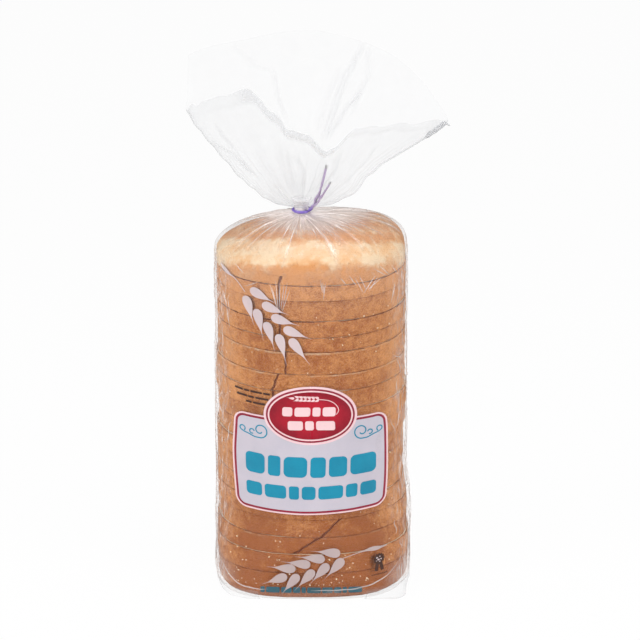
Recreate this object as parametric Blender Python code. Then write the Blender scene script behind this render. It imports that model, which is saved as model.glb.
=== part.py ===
"""A sliced loaf sealed in a clear bread bag, standing on its heel, and the twist tie round its neck.

The bag is one closed solid: the packed body, the drawn-in shoulders, the gathered neck, and above the
tie the loose end of the film, which fans out as an open funnel of two leaves. The tie is a second solid:
a band round the neck and its two twisted tails. Metres, +Z up, front towards -Y. The origin is the
middle of the flat face that the bag stands on.
"""

import math

import bmesh
import bpy
from mathutils import Vector

# Driving dimensions of the packed body.
HALF_WIDTH = 0.0674
WIDEST_Y = 0.020
FRONT_DEPTH = 0.0745
REAR_DEPTH = 0.0345
BODY_TOP = 0.236
DOME_POWER = 2.15
CORNER_POWER = 3.4
CORNER_FADE = 0.060
FOOT_INSET = 0.0090
FOOT_HEIGHT = 0.0100

# Shoulders and neck.
NECK_X = -0.0065
NECK_RADIUS = 0.0070
NECK_BOTTOM = 0.2655
NECK_TOP = 0.2700
SHOULDER_POWER = 1.9
SHOULDER_LEAN = 0.3

# The fan of loose film above the tie: lengths from the neck, angles above +X.
FAN_LENGTH = 0.1205
FAN_CORNER_EXTRA = 0.0090
FAN_SIDE = 0.0803
FAN_RIGHT = math.radians(32.0)
FAN_LEFT = math.radians(139.0)
RIGHT_DROOP = math.radians(38.0)
LEFT_DROOP = math.radians(42.0)
FAN_REAR_LEAN = 0.021
FAN_FRONT_LEAN = 0.058
NOTCH_PLACE = 0.34
NOTCH_DEPTH = 0.54
NOTCH_RIGHT = 0.16
NOTCH_LEFT = 0.30
WALL = 0.0025
HOLLOW_START = 0.24

# The twist tie.
TIE_GAP = 0.0003
TIE_THICKNESS = 0.0011
TIE_HEIGHT = 0.0030
TAIL_RADIUS = 0.0009

# Mesh fineness.
SEGMENTS = 56
BODY_RINGS = 7
SHOULDER_RINGS = 8
FAN_RINGS = 9
TAIL_SIDES = 8


def clear_scene():
    """Empty the scene of whatever it opened with."""
    for item in list(bpy.data.objects):
        bpy.data.objects.remove(item, do_unlink=True)


def make_material(name, colour, roughness, alpha=1.0):
    """A plain Principled material."""
    material = bpy.data.materials.new(name)
    material.use_nodes = True
    shader = material.node_tree.nodes["Principled BSDF"]
    shader.inputs["Base Color"].default_value = (*colour, 1.0)
    shader.inputs["Roughness"].default_value = roughness
    shader.inputs["Alpha"].default_value = alpha
    return material


def add_object(name, mesh_builder, material):
    """Turn a bmesh into a named, smooth-shaded object."""
    bmesh.ops.recalc_face_normals(mesh_builder, faces=mesh_builder.faces)
    mesh = bpy.data.meshes.new(name)
    mesh_builder.to_mesh(mesh)
    mesh_builder.free()
    mesh.materials.append(material)
    mesh.shade_smooth()
    mesh.set_sharp_from_angle(angle=math.radians(40.0))
    made = bpy.data.objects.new(name, mesh)
    bpy.context.scene.collection.objects.link(made)
    return made


def signed_power(value, power):
    """A power that keeps the sign, as a superellipse needs."""
    return math.copysign(abs(value) ** power, value)


def smooth(low, high, value):
    """A smooth step from 0 at low to 1 at high."""
    share = min(1.0, max(0.0, (value - low) / (high - low)))
    return share * share * (3.0 - 2.0 * share)


def angles():
    """The angles of one ring, counter-clockwise from +X as seen from above."""
    return [2.0 * math.pi * index / SEGMENTS for index in range(SEGMENTS)]


def body_point(angle, height, inset, power):
    """A point of the bag's outline: a domed front, a flatter rear, rounded corners."""
    depth = REAR_DEPTH if math.sin(angle) > 0.0 else FRONT_DEPTH
    rear_power = power if math.sin(angle) <= 0.0 else CORNER_POWER
    x = (HALF_WIDTH - inset) * signed_power(math.cos(angle), 2.0 / power)
    y = WIDEST_Y + (depth - inset) * signed_power(math.sin(angle), 2.0 / rear_power)
    return Vector((x, y, height))


def foot_rings():
    """From the flat face underneath, round the edge, to the full outline."""
    rings = []
    for step in range(4):
        turn = 0.5 * math.pi * step / 3
        height = FOOT_HEIGHT * (1.0 - math.cos(turn))
        inset = FOOT_INSET * (1.0 - math.sin(turn))
        rings.append([body_point(angle, height, inset, CORNER_POWER) for angle in angles()])
    return rings


def side_rings():
    """The straight body, squarer at the foot, where the film has loose corners."""
    rings = []
    for step in range(1, BODY_RINGS + 1):
        height = FOOT_HEIGHT + (BODY_TOP - FOOT_HEIGHT) * step / BODY_RINGS
        corner = 1.0 - smooth(FOOT_HEIGHT, CORNER_FADE, height)
        power = DOME_POWER + (CORNER_POWER - DOME_POWER) * corner
        rings.append([body_point(angle, height, 0.0, power) for angle in angles()])
    return rings


def neck_circle(height):
    """One ring of the gathered neck."""
    return [
        Vector((
            NECK_X + NECK_RADIUS * math.cos(angle),
            NECK_RADIUS * math.sin(angle),
            height,
        ))
        for angle in angles()
    ]


def shoulder_rings():
    """The puffed film over the end of the loaf, drawn in to the neck, fuller on the right."""
    rings = []
    circle = neck_circle(NECK_BOTTOM)
    for step in range(1, SHOULDER_RINGS + 1):
        turn = 0.5 * math.pi * step / (SHOULDER_RINGS + 1)
        ring = []
        for angle, neck in zip(angles(), circle):
            power = SHOULDER_POWER + SHOULDER_LEAN * math.cos(angle)
            outward = math.cos(turn) ** (2.0 / power)
            upward = math.sin(turn) ** (2.0 / power)
            rim = body_point(angle, BODY_TOP, 0.0, DOME_POWER)
            point = neck.lerp(rim, outward)
            point.z = BODY_TOP + (NECK_BOTTOM - BODY_TOP) * upward
            ring.append(point)
        rings.append(ring)
    return rings


def fan_length(direction):
    """The film's length from the neck along a direction of the fan, cut straight on the left."""
    corner = smooth(math.radians(105.0), math.radians(128.5), direction)
    length = FAN_LENGTH + FAN_CORNER_EXTRA * corner
    if direction > math.pi / 2.0:
        length = min(length, FAN_SIDE / max(abs(math.cos(direction)), 0.1))
    return length


def rim_share(across, front):
    """How much of the length the film keeps: the front leaf has a deep V in its rim."""
    spread = NOTCH_RIGHT if across < NOTCH_PLACE else NOTCH_LEFT
    dip = NOTCH_DEPTH * math.exp(-(((across - NOTCH_PLACE) / spread) ** 2))
    return 1.0 - front * dip


def fan_point(angle, share, wall):
    """A point of the fan. Share runs from 0 at the neck to 1 at the rim; wall moves it inwards."""
    half_turn = math.sin(angle)
    across = 0.5 * (1.0 - math.cos(angle))
    front = max(0.0, -half_turn) ** 0.5
    reach = share * rim_share(across, front)
    rim_way = FAN_RIGHT + (FAN_LEFT - FAN_RIGHT) * across
    length = reach * fan_length(rim_way)
    inset = wall / max(length, 0.001) * -math.cos(angle) if wall else 0.0
    right = FAN_RIGHT - RIGHT_DROOP * (1.0 - reach) ** 1.8
    left = FAN_LEFT + LEFT_DROOP * (1.0 - reach) ** 1.5
    way = right + (left - right) * across - inset
    lean = FAN_REAR_LEAN if half_turn > 0.0 else FAN_FRONT_LEAN
    swing = lean * reach / length if length > 0.0 else 0.0
    upright = math.sqrt(max(0.0, 1.0 - (swing * half_turn) ** 2))
    gather = (NECK_RADIUS - wall) * (1.0 - 0.55 * reach)
    return Vector((
        NECK_X + gather * math.cos(angle) + length * upright * math.cos(way),
        gather * half_turn + lean * reach * half_turn,
        NECK_TOP + length * upright * math.sin(way),
    ))


def fan_rings():
    """The funnel's outside up to its rim, then its inside back down to the floor of the hollow."""
    shares = [((step + 1) / FAN_RINGS) ** 1.25 for step in range(FAN_RINGS)]
    outside = [[fan_point(angle, share, 0.0) for angle in angles()] for share in shares]
    inner = [share for share in reversed(shares) if share > HOLLOW_START]
    inside = [[fan_point(angle, share, WALL) for angle in angles()] for share in inner]
    return outside + inside


def loft(rings):
    """Extrude one face along the rings. Both ends are closed."""
    builder = bmesh.new()
    made = bmesh.ops.create_circle(builder, cap_ends=True, radius=1.0, segments=len(rings[0]))
    for vertex, place in zip(made["verts"], rings[0]):
        vertex.co = place
    face = builder.faces[:][0]
    foot = [loop.vert for loop in face.loops]
    order = [made["verts"].index(vertex) for vertex in foot]
    for ring in rings[1:]:
        face = bmesh.ops.extrude_discrete_faces(builder, faces=[face])["faces"][0]
        for loop, index in zip(face.loops, order):
            loop.vert.co = ring[index]
    bmesh.ops.poke(builder, faces=[face])
    builder.faces.new(reversed(foot))
    return builder


def make_bag(material):
    """The sealed bag with the loaf in it, from the foot to the fan's rim."""
    rings = foot_rings() + side_rings() + shoulder_rings()
    rings += [neck_circle(NECK_BOTTOM), neck_circle(NECK_TOP)] + fan_rings()
    return add_object("bread_bag", loft(rings), material)


def tube(path, radius):
    """A round bar along a path, closed at both ends."""
    rings = []
    for index, place in enumerate(path):
        ahead = path[min(index + 1, len(path) - 1)]
        behind = path[max(index - 1, 0)]
        along = (ahead - behind).normalized()
        side = along.cross(Vector((0.0, 1.0, 0.0))).normalized()
        over = side.cross(along)
        ring = []
        for corner in range(TAIL_SIDES):
            turn = 2.0 * math.pi * corner / TAIL_SIDES
            ring.append(place + radius * (math.cos(turn) * side + math.sin(turn) * over))
        rings.append(ring)
    return loft(rings)


def tie_height():
    """The height of the middle of the band."""
    return 0.5 * (NECK_BOTTOM + NECK_TOP)


def band():
    """The band: a small rectangle spun round the neck."""
    builder = bmesh.new()
    inner = NECK_RADIUS + TIE_GAP
    low = tie_height() - 0.5 * TIE_HEIGHT
    corners = [
        (inner, low),
        (inner + TIE_THICKNESS, low),
        (inner + TIE_THICKNESS, low + TIE_HEIGHT),
        (inner, low + TIE_HEIGHT),
    ]
    verts = [builder.verts.new((NECK_X + radius, 0.0, height)) for radius, height in corners]
    edges = [builder.edges.new((verts[index], verts[(index + 1) % 4])) for index in range(4)]
    bmesh.ops.spin(
        builder,
        geom=verts + edges,
        cent=(NECK_X, 0.0, 0.0),
        axis=(0.0, 0.0, 1.0),
        angle=2.0 * math.pi,
        steps=32,
        use_merge=True,
    )
    return builder


def tail_path(points, steps=10):
    """A smooth quadratic curve from the first point to the last, drawn towards the middle one."""
    start, middle, end = (Vector(point) for point in points)
    path = []
    for step in range(steps + 1):
        share = step / steps
        low = start.lerp(middle, share)
        high = middle.lerp(end, share)
        path.append(low.lerp(high, share))
    return path


def make_tie(material):
    """The band and its two tails, joined into one solid."""
    height = tie_height()
    reach = NECK_RADIUS + TIE_GAP + 0.5 * TIE_THICKNESS
    start = (NECK_X + 0.80 * reach, -0.60 * reach, height)
    long_tail = [start, (0.0060, -0.0215, 0.2800), (0.0108, -0.0300, 0.3085)]
    short_tail = [start, (0.0052, -0.0190, 0.2770), (0.0135, -0.0265, 0.2950)]
    tie = add_object("twist_tie", band(), material)
    for number, points in enumerate((long_tail, short_tail)):
        tail = add_object(f"tail_{number}", tube(tail_path(points), TAIL_RADIUS), material)
        tail.hide_render = True
        tail.display_type = "WIRE"
        join = tie.modifiers.new(f"Join {number}", "BOOLEAN")
        join.operation = "UNION"
        join.solver = "EXACT"
        join.object = tail
    return tie


def main():
    """Build the bag and its tie."""
    clear_scene()
    film = make_material("bag with loaf", (0.52, 0.27, 0.14), 0.35)
    coated_wire = make_material("twist tie", (0.33, 0.25, 0.55), 0.45)
    make_bag(film)
    make_tie(coated_wire)


main()
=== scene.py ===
"""The looks of a sliced loaf in a clear bread bag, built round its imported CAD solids.

The CAD model gives the sealed bag as one solid and the twist tie as another. Here the bag becomes its
film, its print and the slices inside, and the tie becomes a coated strip wound round the neck. Metres,
+Z up, the printed front towards -Y.
"""

import logging
import math
import random
from collections.abc import Callable, Iterator, Sequence
from dataclasses import dataclass, field
from enum import Enum
from functools import partial

import bmesh
import bpy
from mathutils import Matrix, Vector, noise


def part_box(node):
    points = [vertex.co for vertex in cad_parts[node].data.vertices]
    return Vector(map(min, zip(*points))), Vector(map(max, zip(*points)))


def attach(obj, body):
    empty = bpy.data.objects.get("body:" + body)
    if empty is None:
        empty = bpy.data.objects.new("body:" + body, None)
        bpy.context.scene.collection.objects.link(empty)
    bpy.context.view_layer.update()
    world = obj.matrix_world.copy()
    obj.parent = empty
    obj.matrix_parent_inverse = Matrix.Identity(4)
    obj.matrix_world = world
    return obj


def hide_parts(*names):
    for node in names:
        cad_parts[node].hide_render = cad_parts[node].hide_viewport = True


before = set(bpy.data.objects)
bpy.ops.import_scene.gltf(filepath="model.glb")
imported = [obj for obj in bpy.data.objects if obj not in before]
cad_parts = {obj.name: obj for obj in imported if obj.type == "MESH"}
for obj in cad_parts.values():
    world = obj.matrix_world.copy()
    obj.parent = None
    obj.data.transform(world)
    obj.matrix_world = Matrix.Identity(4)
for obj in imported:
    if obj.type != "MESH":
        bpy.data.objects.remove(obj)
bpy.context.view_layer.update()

BAG = "bread_bag"
TIE = "twist_tie"
BODY = "root"
MM = 0.001
LOG = logging.getLogger("bread_bag")

Piece = bpy.types.Object
Material = bpy.types.Material
Socket = bpy.types.NodeSocket
Builder = bmesh.types.BMesh
Pair = tuple[float, float]
Triple = tuple[float, float, float]
Colour = Triple
Four = tuple[float, float, float, float]
Table = tuple[Pair, ...]
Outline = list[Pair]
Inputs = dict[str, object] | dict[int, object]


def shade(red: int, green: int, blue: int) -> Colour:
    """The linear colour of a display colour.

    Args:
        red: Red from 0 to 255.
        green: Green from 0 to 255.
        blue: Blue from 0 to 255.

    Returns:
        The three linear values that a shader takes.
    """
    def linear(value: float) -> float:
        """One channel, from display to linear."""
        return value / 12.92 if value <= 0.04045 else ((value + 0.055) / 1.055) ** 2.4

    return linear(red / 255), linear(green / 255), linear(blue / 255)


def smooth(low: float, high: float, value: float) -> float:
    """A smooth step.

    Args:
        low: Where the step is still 0.
        high: Where the step has reached 1.
        value: The place on the step.

    Returns:
        The step's height at that place.
    """
    share = min(1.0, max(0.0, (value - low) / (high - low)))
    return share * share * (3.0 - 2.0 * share)


def blend(start: float, end: float, share: float) -> float:
    """The number that lies a share of the way from start to end."""
    return start + (end - start) * share


def signed_power(value: float, power: float) -> float:
    """A power that keeps the sign, as a superellipse needs."""
    return math.copysign(abs(value) ** power, value)


def ripple(x: float, y: float, seed: float) -> float:
    """Smooth noise from -1 to 1 at a place."""
    return max(-1.0, min(1.0, 1.6 * noise.noise(Vector((x, y, seed)))))


def pleated(angle: float, count: float, seed: float) -> float:
    """Sharp pleats round a neck, from -1 in their valleys to 1 on their crests."""
    return 1.0 - 2.0 * abs(ripple(count * math.cos(angle), count * math.sin(angle), seed))


def along_table(stations: Sequence[Pair], place: float) -> float:
    """Read a short table of stations with smooth steps between them.

    Args:
        stations: Pairs of place and value, in rising order of place.
        place: Where to read it.

    Returns:
        The value there.
    """
    for (low, first), (high, second) in zip(stations, stations[1:]):
        if place <= high:
            return blend(first, second, smooth(low, high, place))
    return stations[-1][1]


# ---------------- shader helpers


class Value:
    """A shader socket on which maths is written as Python expressions."""

    def __init__(self, graph: "Graph", socket: Socket) -> None:
        """Wrap a socket.

        Args:
            graph: The graph that the socket belongs to.
            socket: The output socket.
        """
        self.graph = graph
        self.socket = socket

    def maths(self, operation: str, *others: "Value | float") -> "Value":
        """Add a Math node.

        Args:
            operation: The node's operation.
            *others: The further operands.

        Returns:
            The result.
        """
        inputs = dict(enumerate((self, *others)))
        made = self.graph.node("ShaderNodeMath", {"operation": operation}, inputs)
        return Value(self.graph, made.outputs[0])

    def __add__(self, other: "Value | float") -> "Value":
        """The sum."""
        return self.maths("ADD", other)

    def __sub__(self, other: "Value | float") -> "Value":
        """The difference."""
        return self.maths("SUBTRACT", other)

    def __rsub__(self, other: float) -> "Value":
        """A number less this value."""
        return self.maths("MULTIPLY", -1.0).maths("ADD", other)

    def __mul__(self, other: "Value | float") -> "Value":
        """The product."""
        return self.maths("MULTIPLY", other)

    def __pow__(self, other: float) -> "Value":
        """A power of this value."""
        return self.maths("POWER", other)

    def __abs__(self) -> "Value":
        """The size of this value, without its sign."""
        return self.maths("ABSOLUTE")

    __radd__ = __add__
    __rmul__ = __mul__

    def clamped(self) -> "Value":
        """This value kept between 0 and 1."""
        return Value(self.graph, self.graph.node("ShaderNodeClamp", {}, {"Value": self}).outputs[0])

    def stepped(self, low: float, high: float) -> "Value":
        """A smooth step of this value.

        Args:
            low: Where the step is still 0.
            high: Where the step has reached 1.

        Returns:
            The step.
        """
        settings = {"interpolation_type": "SMOOTHSTEP"}
        inputs = {"Value": self, "From Min": low, "From Max": high}
        return Value(self.graph, self.graph.node("ShaderNodeMapRange", settings, inputs).outputs[0])


class Graph:
    """The node tree of one Principled material."""

    def __init__(self, name: str, numbers: dict[str, float]) -> None:
        """Start a material.

        Args:
            name: The material's name.
            numbers: Values that are the same all over, by the shader's socket.
        """
        self.material = bpy.data.materials.new(name)
        self.material.use_nodes = True
        self.tree = self.material.node_tree
        self.shader = self.tree.nodes["Principled BSDF"]
        for socket, number in numbers.items():
            self.shader.inputs[socket].default_value = number

    def node(self, kind: str, settings: dict[str, str], inputs: Inputs) -> bpy.types.Node:
        """Add a node.

        Args:
            kind: The node's type.
            settings: Its settings, made before its sockets are fed.
            inputs: A value, colour or link for each socket, by name or index.

        Returns:
            The node.
        """
        made = self.tree.nodes.new(kind)
        for name, setting in settings.items():
            setattr(made, name, setting)
        for name, fed in inputs.items():
            self.feed(made.inputs[name], fed)
        return made

    def feed(self, socket: Socket, fed: object) -> None:
        """Link or set a socket.

        Args:
            socket: The input socket.
            fed: A Value, a socket, a number or a colour.
        """
        if isinstance(fed, Value):
            self.tree.links.new(fed.socket, socket)
        elif isinstance(fed, Socket):
            self.tree.links.new(fed, socket)
        elif socket.type == "RGBA":
            socket.default_value = (*fed, 1.0)
        else:
            socket.default_value = fed

    def place(self, scale: Triple = (1.0, 1.0, 1.0)) -> Socket:
        """Object coordinates, stretched by a scale."""
        coordinates = self.node("ShaderNodeTexCoord", {}, {}).outputs["Object"]
        return self.node("ShaderNodeMapping", {}, {"Vector": coordinates, "Scale": scale}).outputs[0]

    def surface(self, scale: Triple) -> Socket:
        """The piece's own UV map, stretched by a scale."""
        coordinates = self.node("ShaderNodeUVMap", {"uv_map": "UVMap"}, {}).outputs[0]
        return self.node("ShaderNodeMapping", {}, {"Vector": coordinates, "Scale": scale}).outputs[0]

    def mark(self, name: str) -> Value:
        """The number that the mesh carries under a name."""
        made = self.node("ShaderNodeAttribute", {"attribute_name": name}, {})
        return Value(self, made.outputs["Fac"])

    def noise(
        self, where: Socket, scale: float, detail: float = 2.0, rough: float = 0.5
    ) -> Value:
        """Smooth noise.

        Args:
            where: The coordinates.
            scale: How many features there are to a unit.
            detail: How many finer layers it has.
            rough: How strong the finer layers are.

        Returns:
            Noise of about 0 to 1.
        """
        inputs = {"Vector": where, "Scale": scale, "Detail": detail, "Roughness": rough}
        return Value(self, self.node("ShaderNodeTexNoise", {}, inputs).outputs[0])

    def cells(self, where: Socket, scale: float) -> Value:
        """The distance to the nearest of a scatter of points."""
        made = self.node("ShaderNodeTexVoronoi", {}, {"Vector": where, "Scale": scale})
        return Value(self, made.outputs[0])

    def facing(self) -> Value:
        """0 where the surface is seen face on and 1 where it is seen at its edge."""
        return Value(self, self.node("ShaderNodeLayerWeight", {}, {"Blend": 0.5}).outputs["Facing"])

    def mix(self, share: Value, first: object, second: object) -> Socket:
        """Mix two colours.

        Args:
            share: How much of the second colour there is.
            first: A colour or a colour's socket.
            second: A colour or a colour's socket.

        Returns:
            The mixed colour.
        """
        inputs = {0: share, 6: first, 7: second}
        return self.node("ShaderNodeMix", {"data_type": "RGBA"}, inputs).outputs[2]

    def bump(self, height: Value, distance: float, strength: float = 1.0) -> None:
        """Raise the shader's surface by a height.

        Args:
            height: The relief, from 0 to 1.
            distance: How far 1 stands up, in metres.
            strength: How much of it shows.
        """
        inputs = {"Height": height, "Distance": distance, "Strength": strength}
        self.dress("Normal", self.node("ShaderNodeBump", {}, inputs).outputs[0])

    def dress(self, socket: str, fed: object) -> None:
        """Feed one of the shader's sockets."""
        self.feed(self.shader.inputs[socket], fed)


# ---------------- finishes


@dataclass(frozen=True)
class CrustFinish:
    """Baked crust: golden sides, a browner crown and cream where the dough broke above the pan, with
    painted shade in its splits and in the gaps between slices, and painted highlights on slice edges.
    """

    golden: Colour = shade(209, 144, 86)
    brown: Colour = shade(158, 90, 45)
    toasted: Colour = shade(230, 186, 140)
    cream: Colour = shade(233, 207, 173)
    # The colour of the shade painted into splits and into the gaps between slices.
    crack: Colour = shade(108, 50, 26)
    roughness: float = 0.62

    def material(self) -> Material:
        """Make the material."""
        graph = Graph("baked_crust", {"Specular IOR Level": 0.12, "Sheen Weight": 0.03})
        place = graph.place()
        broad = graph.noise(place, 42.0, 3.0, 0.55)
        mottle = graph.noise(place, 210.0, 4.0, 0.6)
        grain = graph.noise(place, 850.0, 3.0, 0.65)
        pits = graph.cells(graph.place((1.0, 1.0, 1.3)), 620.0)
        wandering = graph.noise(place, 160.0, 2.0)
        # The crown's split: a groove in the bump, with painted shade in it.
        split = 1.0 - abs(graph.mark("from_crack") + (wandering - 0.5) * 0.0030).stepped(0.0002, 0.0011)
        # The first mark read here is partly the crust's colour and partly painted shade, darker low on
        # the loaf.
        tone = graph.mark("bake") + (broad - 0.5) * 1.5 + (mottle - 0.5) * 1.7 + (grain - 0.5) * 2.1
        baked = graph.mix(tone.clamped(), self.golden, self.brown)
        # Cream where the dough broke, and the painted highlight on the slices' upper edges.
        edge = graph.mark("pale") + (mottle - 0.5) * 1.0 + (broad - 0.5) * 1.2
        pale = (edge.stepped(0.1, 0.9) * graph.mark("pale").stepped(0.0, 0.3)).clamped()
        patchy = (mottle * 0.6 + broad * 0.6 - 0.1).stepped(0.38, 0.62)
        broken = graph.mix(pale, baked, graph.mix(patchy, self.toasted, self.cream))
        # Painted shade in the crack colour: in the crown's split and, broken into patches, in the gaps
        # between slices.
        patches = 0.45 + (mottle - 0.5) * 2.6 + (wandering - 0.5) * 1.6
        dark = (split + graph.mark("seam_shading") * patches).clamped()
        graph.dress("Base Color", graph.mix(dark, broken, self.crack))
        graph.dress("Roughness", self.roughness + (grain - 0.5) * 0.25)
        lumps = broad * 3.2 + mottle * 0.55 + grain * 0.25
        graph.bump(lumps + pits.stepped(0.0, 0.5) * 0.25 - split * 0.8, 0.0014, 0.9)
        return graph.material


@dataclass(frozen=True)
class CrumbFinish:
    """The soft inside of the bread, full of small pores."""

    pale: Colour = shade(246, 232, 204)
    shadow: Colour = shade(222, 194, 150)

    def material(self) -> Material:
        """Make the material."""
        graph = Graph("crumb", {"Specular IOR Level": 0.1, "Sheen Weight": 0.05})
        place = graph.place()
        pores = graph.cells(place, 420.0).stepped(0.1, 0.5)
        soft = graph.noise(place, 260.0, 4.0, 0.6)
        light = (soft * 0.6 + pores * 0.4).clamped()
        graph.dress("Base Color", graph.mix(light, self.shadow, self.pale))
        graph.dress("Roughness", 0.8 + (soft - 0.5) * 0.2)
        graph.bump(pores * 0.6 + soft * 0.4, 0.0012, 0.9)
        return graph.material


@dataclass(frozen=True)
class FilmFinish:
    """Thin clear film: nearly nothing face on, hazy at its edges and along its creases."""

    name: str
    tint: Colour
    haze: float
    edge: float = 0.0
    crease: float = 0.0
    scratch: float = 0.0
    relief: float = 0.0005
    streaks: Triple = (150.0, 7.0, 1.0)
    light: Colour = (0.93, 0.93, 0.94)
    rough: float = 0.12

    def material(self) -> Material:
        """Make the material."""
        graph = Graph(self.name, {"IOR": 1.5, "Specular IOR Level": 0.9})
        along = graph.surface(self.streaks)
        streak = graph.noise(along, 1.0, 3.0, 0.6)
        line = 1.0 - abs(streak - 0.5).stepped(0.0, 0.03)
        cloud = graph.noise(graph.place(), 70.0, 3.0)
        marked = graph.mark("crease")
        opacity = self.haze + graph.facing() ** 3.0 * self.edge + marked * self.crease
        opacity = opacity + line * marked.stepped(0.02, 0.6) * self.scratch + (cloud - 0.5) * self.haze
        milky = (cloud * 0.4 + marked * 0.6).clamped()
        graph.dress("Base Color", graph.mix(milky, self.tint, self.light))
        graph.dress("Alpha", opacity.clamped())
        graph.dress("Roughness", self.rough + cloud * 0.12)
        graph.bump(streak, self.relief, 0.6)
        return graph.material


@dataclass(frozen=True)
class InkFinish:
    """Printing ink on film: one colour, slightly uneven, with the film's gloss."""

    name: str
    slot: str
    colour: Colour
    deep: Colour
    cover: float = 1.0
    rim: float = 0.0

    def material(self) -> Material:
        """Make the material."""
        gloss = {"Coat Roughness": 0.18, "Specular IOR Level": 0.15}
        graph = Graph(self.name, gloss | {"Alpha": self.cover})
        place = graph.place()
        broad = graph.noise(place, 55.0, 2.0)
        fine = graph.noise(place, 900.0, 2.0)
        patches = (broad * 0.75 + fine * 0.25).stepped(0.3, 0.75)
        uneven = (patches * 0.6 + graph.mark("rim") * self.rim).clamped()
        graph.dress("Base Color", graph.mix(uneven, self.colour, self.deep))
        graph.dress("Roughness", 0.34 + (fine - 0.5) * 0.15)
        graph.dress("Coat Weight", 0.10 + (broad - 0.5) * 0.2)
        graph.bump(graph.noise(graph.place((1.0, 1.0, 0.45)), 95.0, 3.0), 0.0016, 0.45)
        return graph.material


@dataclass(frozen=True)
class TieFinish:
    """Coloured paper and plastic over a wire, rubbed grey along the tails."""

    fresh: Colour = shade(128, 104, 196)
    rubbed: Colour = shade(176, 160, 190)
    tip: Colour = shade(165, 165, 166)

    def material(self) -> Material:
        """Make the material."""
        graph = Graph("coated_wire", {"Specular IOR Level": 0.5})
        place = graph.place()
        fibre = graph.noise(graph.place((1.0, 1.0, 0.3)), 2600.0, 3.0, 0.6)
        worn = graph.noise(place, 420.0, 3.0)
        rub = (graph.mark("rub") + (worn - 0.5) * 0.5).clamped()
        coat = graph.mix(rub, self.fresh, self.rubbed)
        graph.dress("Base Color", graph.mix(graph.mark("tip"), coat, self.tip))
        graph.dress("Roughness", 0.45 + (fibre - 0.5) * 0.3)
        graph.bump(fibre, 0.0002, 0.5)
        return graph.material


class Ink(Enum):
    """The inks of the print."""

    WHITE = InkFinish("ink_white", "print_white", shade(238, 206, 210), shade(230, 194, 199))
    PINK = InkFinish("ink_pink", "print_white", shade(240, 206, 208), shade(230, 192, 196))
    LILAC = InkFinish("ink_lilac", "print_white", shade(200, 193, 203), shade(186, 182, 194))
    RED = InkFinish("ink_red", "print_red", shade(190, 30, 50), shade(138, 22, 40), rim=0.7)
    DEEP_RED = InkFinish("ink_deep_red", "print_red", shade(150, 42, 62), shade(130, 30, 50))
    TEAL = InkFinish("ink_teal", "print_teal", shade(30, 142, 172), shade(18, 120, 152))
    TEAL_SHADE = InkFinish("ink_teal_shade", "print_teal", shade(38, 102, 120), shade(62, 88, 92), 0.85)
    DARK = InkFinish("ink_dark", "print_dark", shade(74, 50, 42), shade(58, 38, 32))
    KERNEL = InkFinish("ink_kernel", "print_white", shade(214, 197, 198), shade(200, 185, 190), 0.92)
    # The kernel ink darkened: painted shade for the lower ear, which is printed in the same ink as the
    # upper one.
    KERNEL_IN_SHADE = InkFinish("ink_kernel_in_shade", "print_white", shade(192, 174, 172), shade(180, 164, 166), 0.92)


@dataclass
class Wardrobe:
    """Every material, made once and shared by the pieces."""

    crust: Material = field(default_factory=CrustFinish().material)
    crumb: Material = field(default_factory=CrumbFinish().material)
    body_film: Material = field(
        default_factory=FilmFinish(
            name="film_on_loaf",
            tint=shade(242, 234, 230),
            haze=0.03,
            edge=0.20,
            crease=0.75,
            scratch=0.75,
            relief=0.0004,
            streaks=(230.0, 5.0, 1.0),
            light=shade(252, 244, 241),
        ).material
    )
    fan_film: Material = field(
        default_factory=FilmFinish(
            name="film_above_tie",
            tint=shade(206, 207, 210),
            haze=0.072,
            edge=0.30,
            crease=0.50,
            streaks=(46.0, 2.2, 1.0),
            light=shade(198, 199, 203),
            rough=0.35,
        ).material
    )
    # Whitish half-opaque film on the crease ridges, as a painted highlight.
    crease_glint: Material = field(
        default_factory=FilmFinish(
            name="crease_glint",
            tint=shade(252, 240, 236),
            haze=0.42,
            edge=0.1,
            relief=0.0001,
        ).material
    )
    grey_crease: Material = field(
        default_factory=FilmFinish(
            name="grey_crease",
            tint=shade(192, 193, 196),
            haze=0.80,
            edge=0.1,
            relief=0.00003,
            light=shade(206, 207, 209),
            rough=0.7,
        ).material
    )
    gathered: Material = field(
        default_factory=FilmFinish(
            name="gathered_film",
            tint=shade(252, 251, 253),
            haze=0.0,
            crease=1.0,
            relief=0.0002,
            light=shade(252, 251, 253),
            rough=0.8,
        ).material
    )
    tie: Material = field(default_factory=TieFinish().material)
    inks: dict[Ink, Material] = field(
        default_factory=lambda: {ink: ink.value.material() for ink in Ink}
    )


# ---------------- mesh helpers


@dataclass
class Spot:
    """A point of a sheet and the numbers that its material reads there."""

    place: Vector
    marks: dict[str, float] = field(default_factory=dict)


def grow_sheet(
    builder: Builder,
    around: int,
    along: int,
    place: Callable[[float, float], Spot],
    dress: Callable[[float], int] | None = None,
) -> None:
    """Add a grid and move each of its points to its spot.

    Args:
        builder: The bmesh that takes the sheet.
        around: Cells in the first direction.
        along: Cells in the second direction.
        place: The spot for a pair of shares from 0 to 1.
        dress: The material's index for a share of the second direction.
    """
    if not builder.loops.layers.uv:
        builder.loops.layers.uv.new("UVMap")
    layers = builder.verts.layers.float
    for name in place(0.0, 0.0).marks:
        if layers.get(name) is None:
            layers.new(name)
    known = set(builder.faces)
    made = bmesh.ops.create_grid(builder, x_segments=around, y_segments=along, size=0.5, calc_uvs=True)
    if dress is not None:
        for face in builder.faces:
            if face not in known:
                face.material_index = dress(face.calc_center_median().y + 0.5)
    for vertex in made["verts"]:
        spot = place(vertex.co.x + 0.5, vertex.co.y + 0.5)
        vertex.co = spot.place
        for name, number in spot.marks.items():
            vertex[layers[name]] = number


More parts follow.
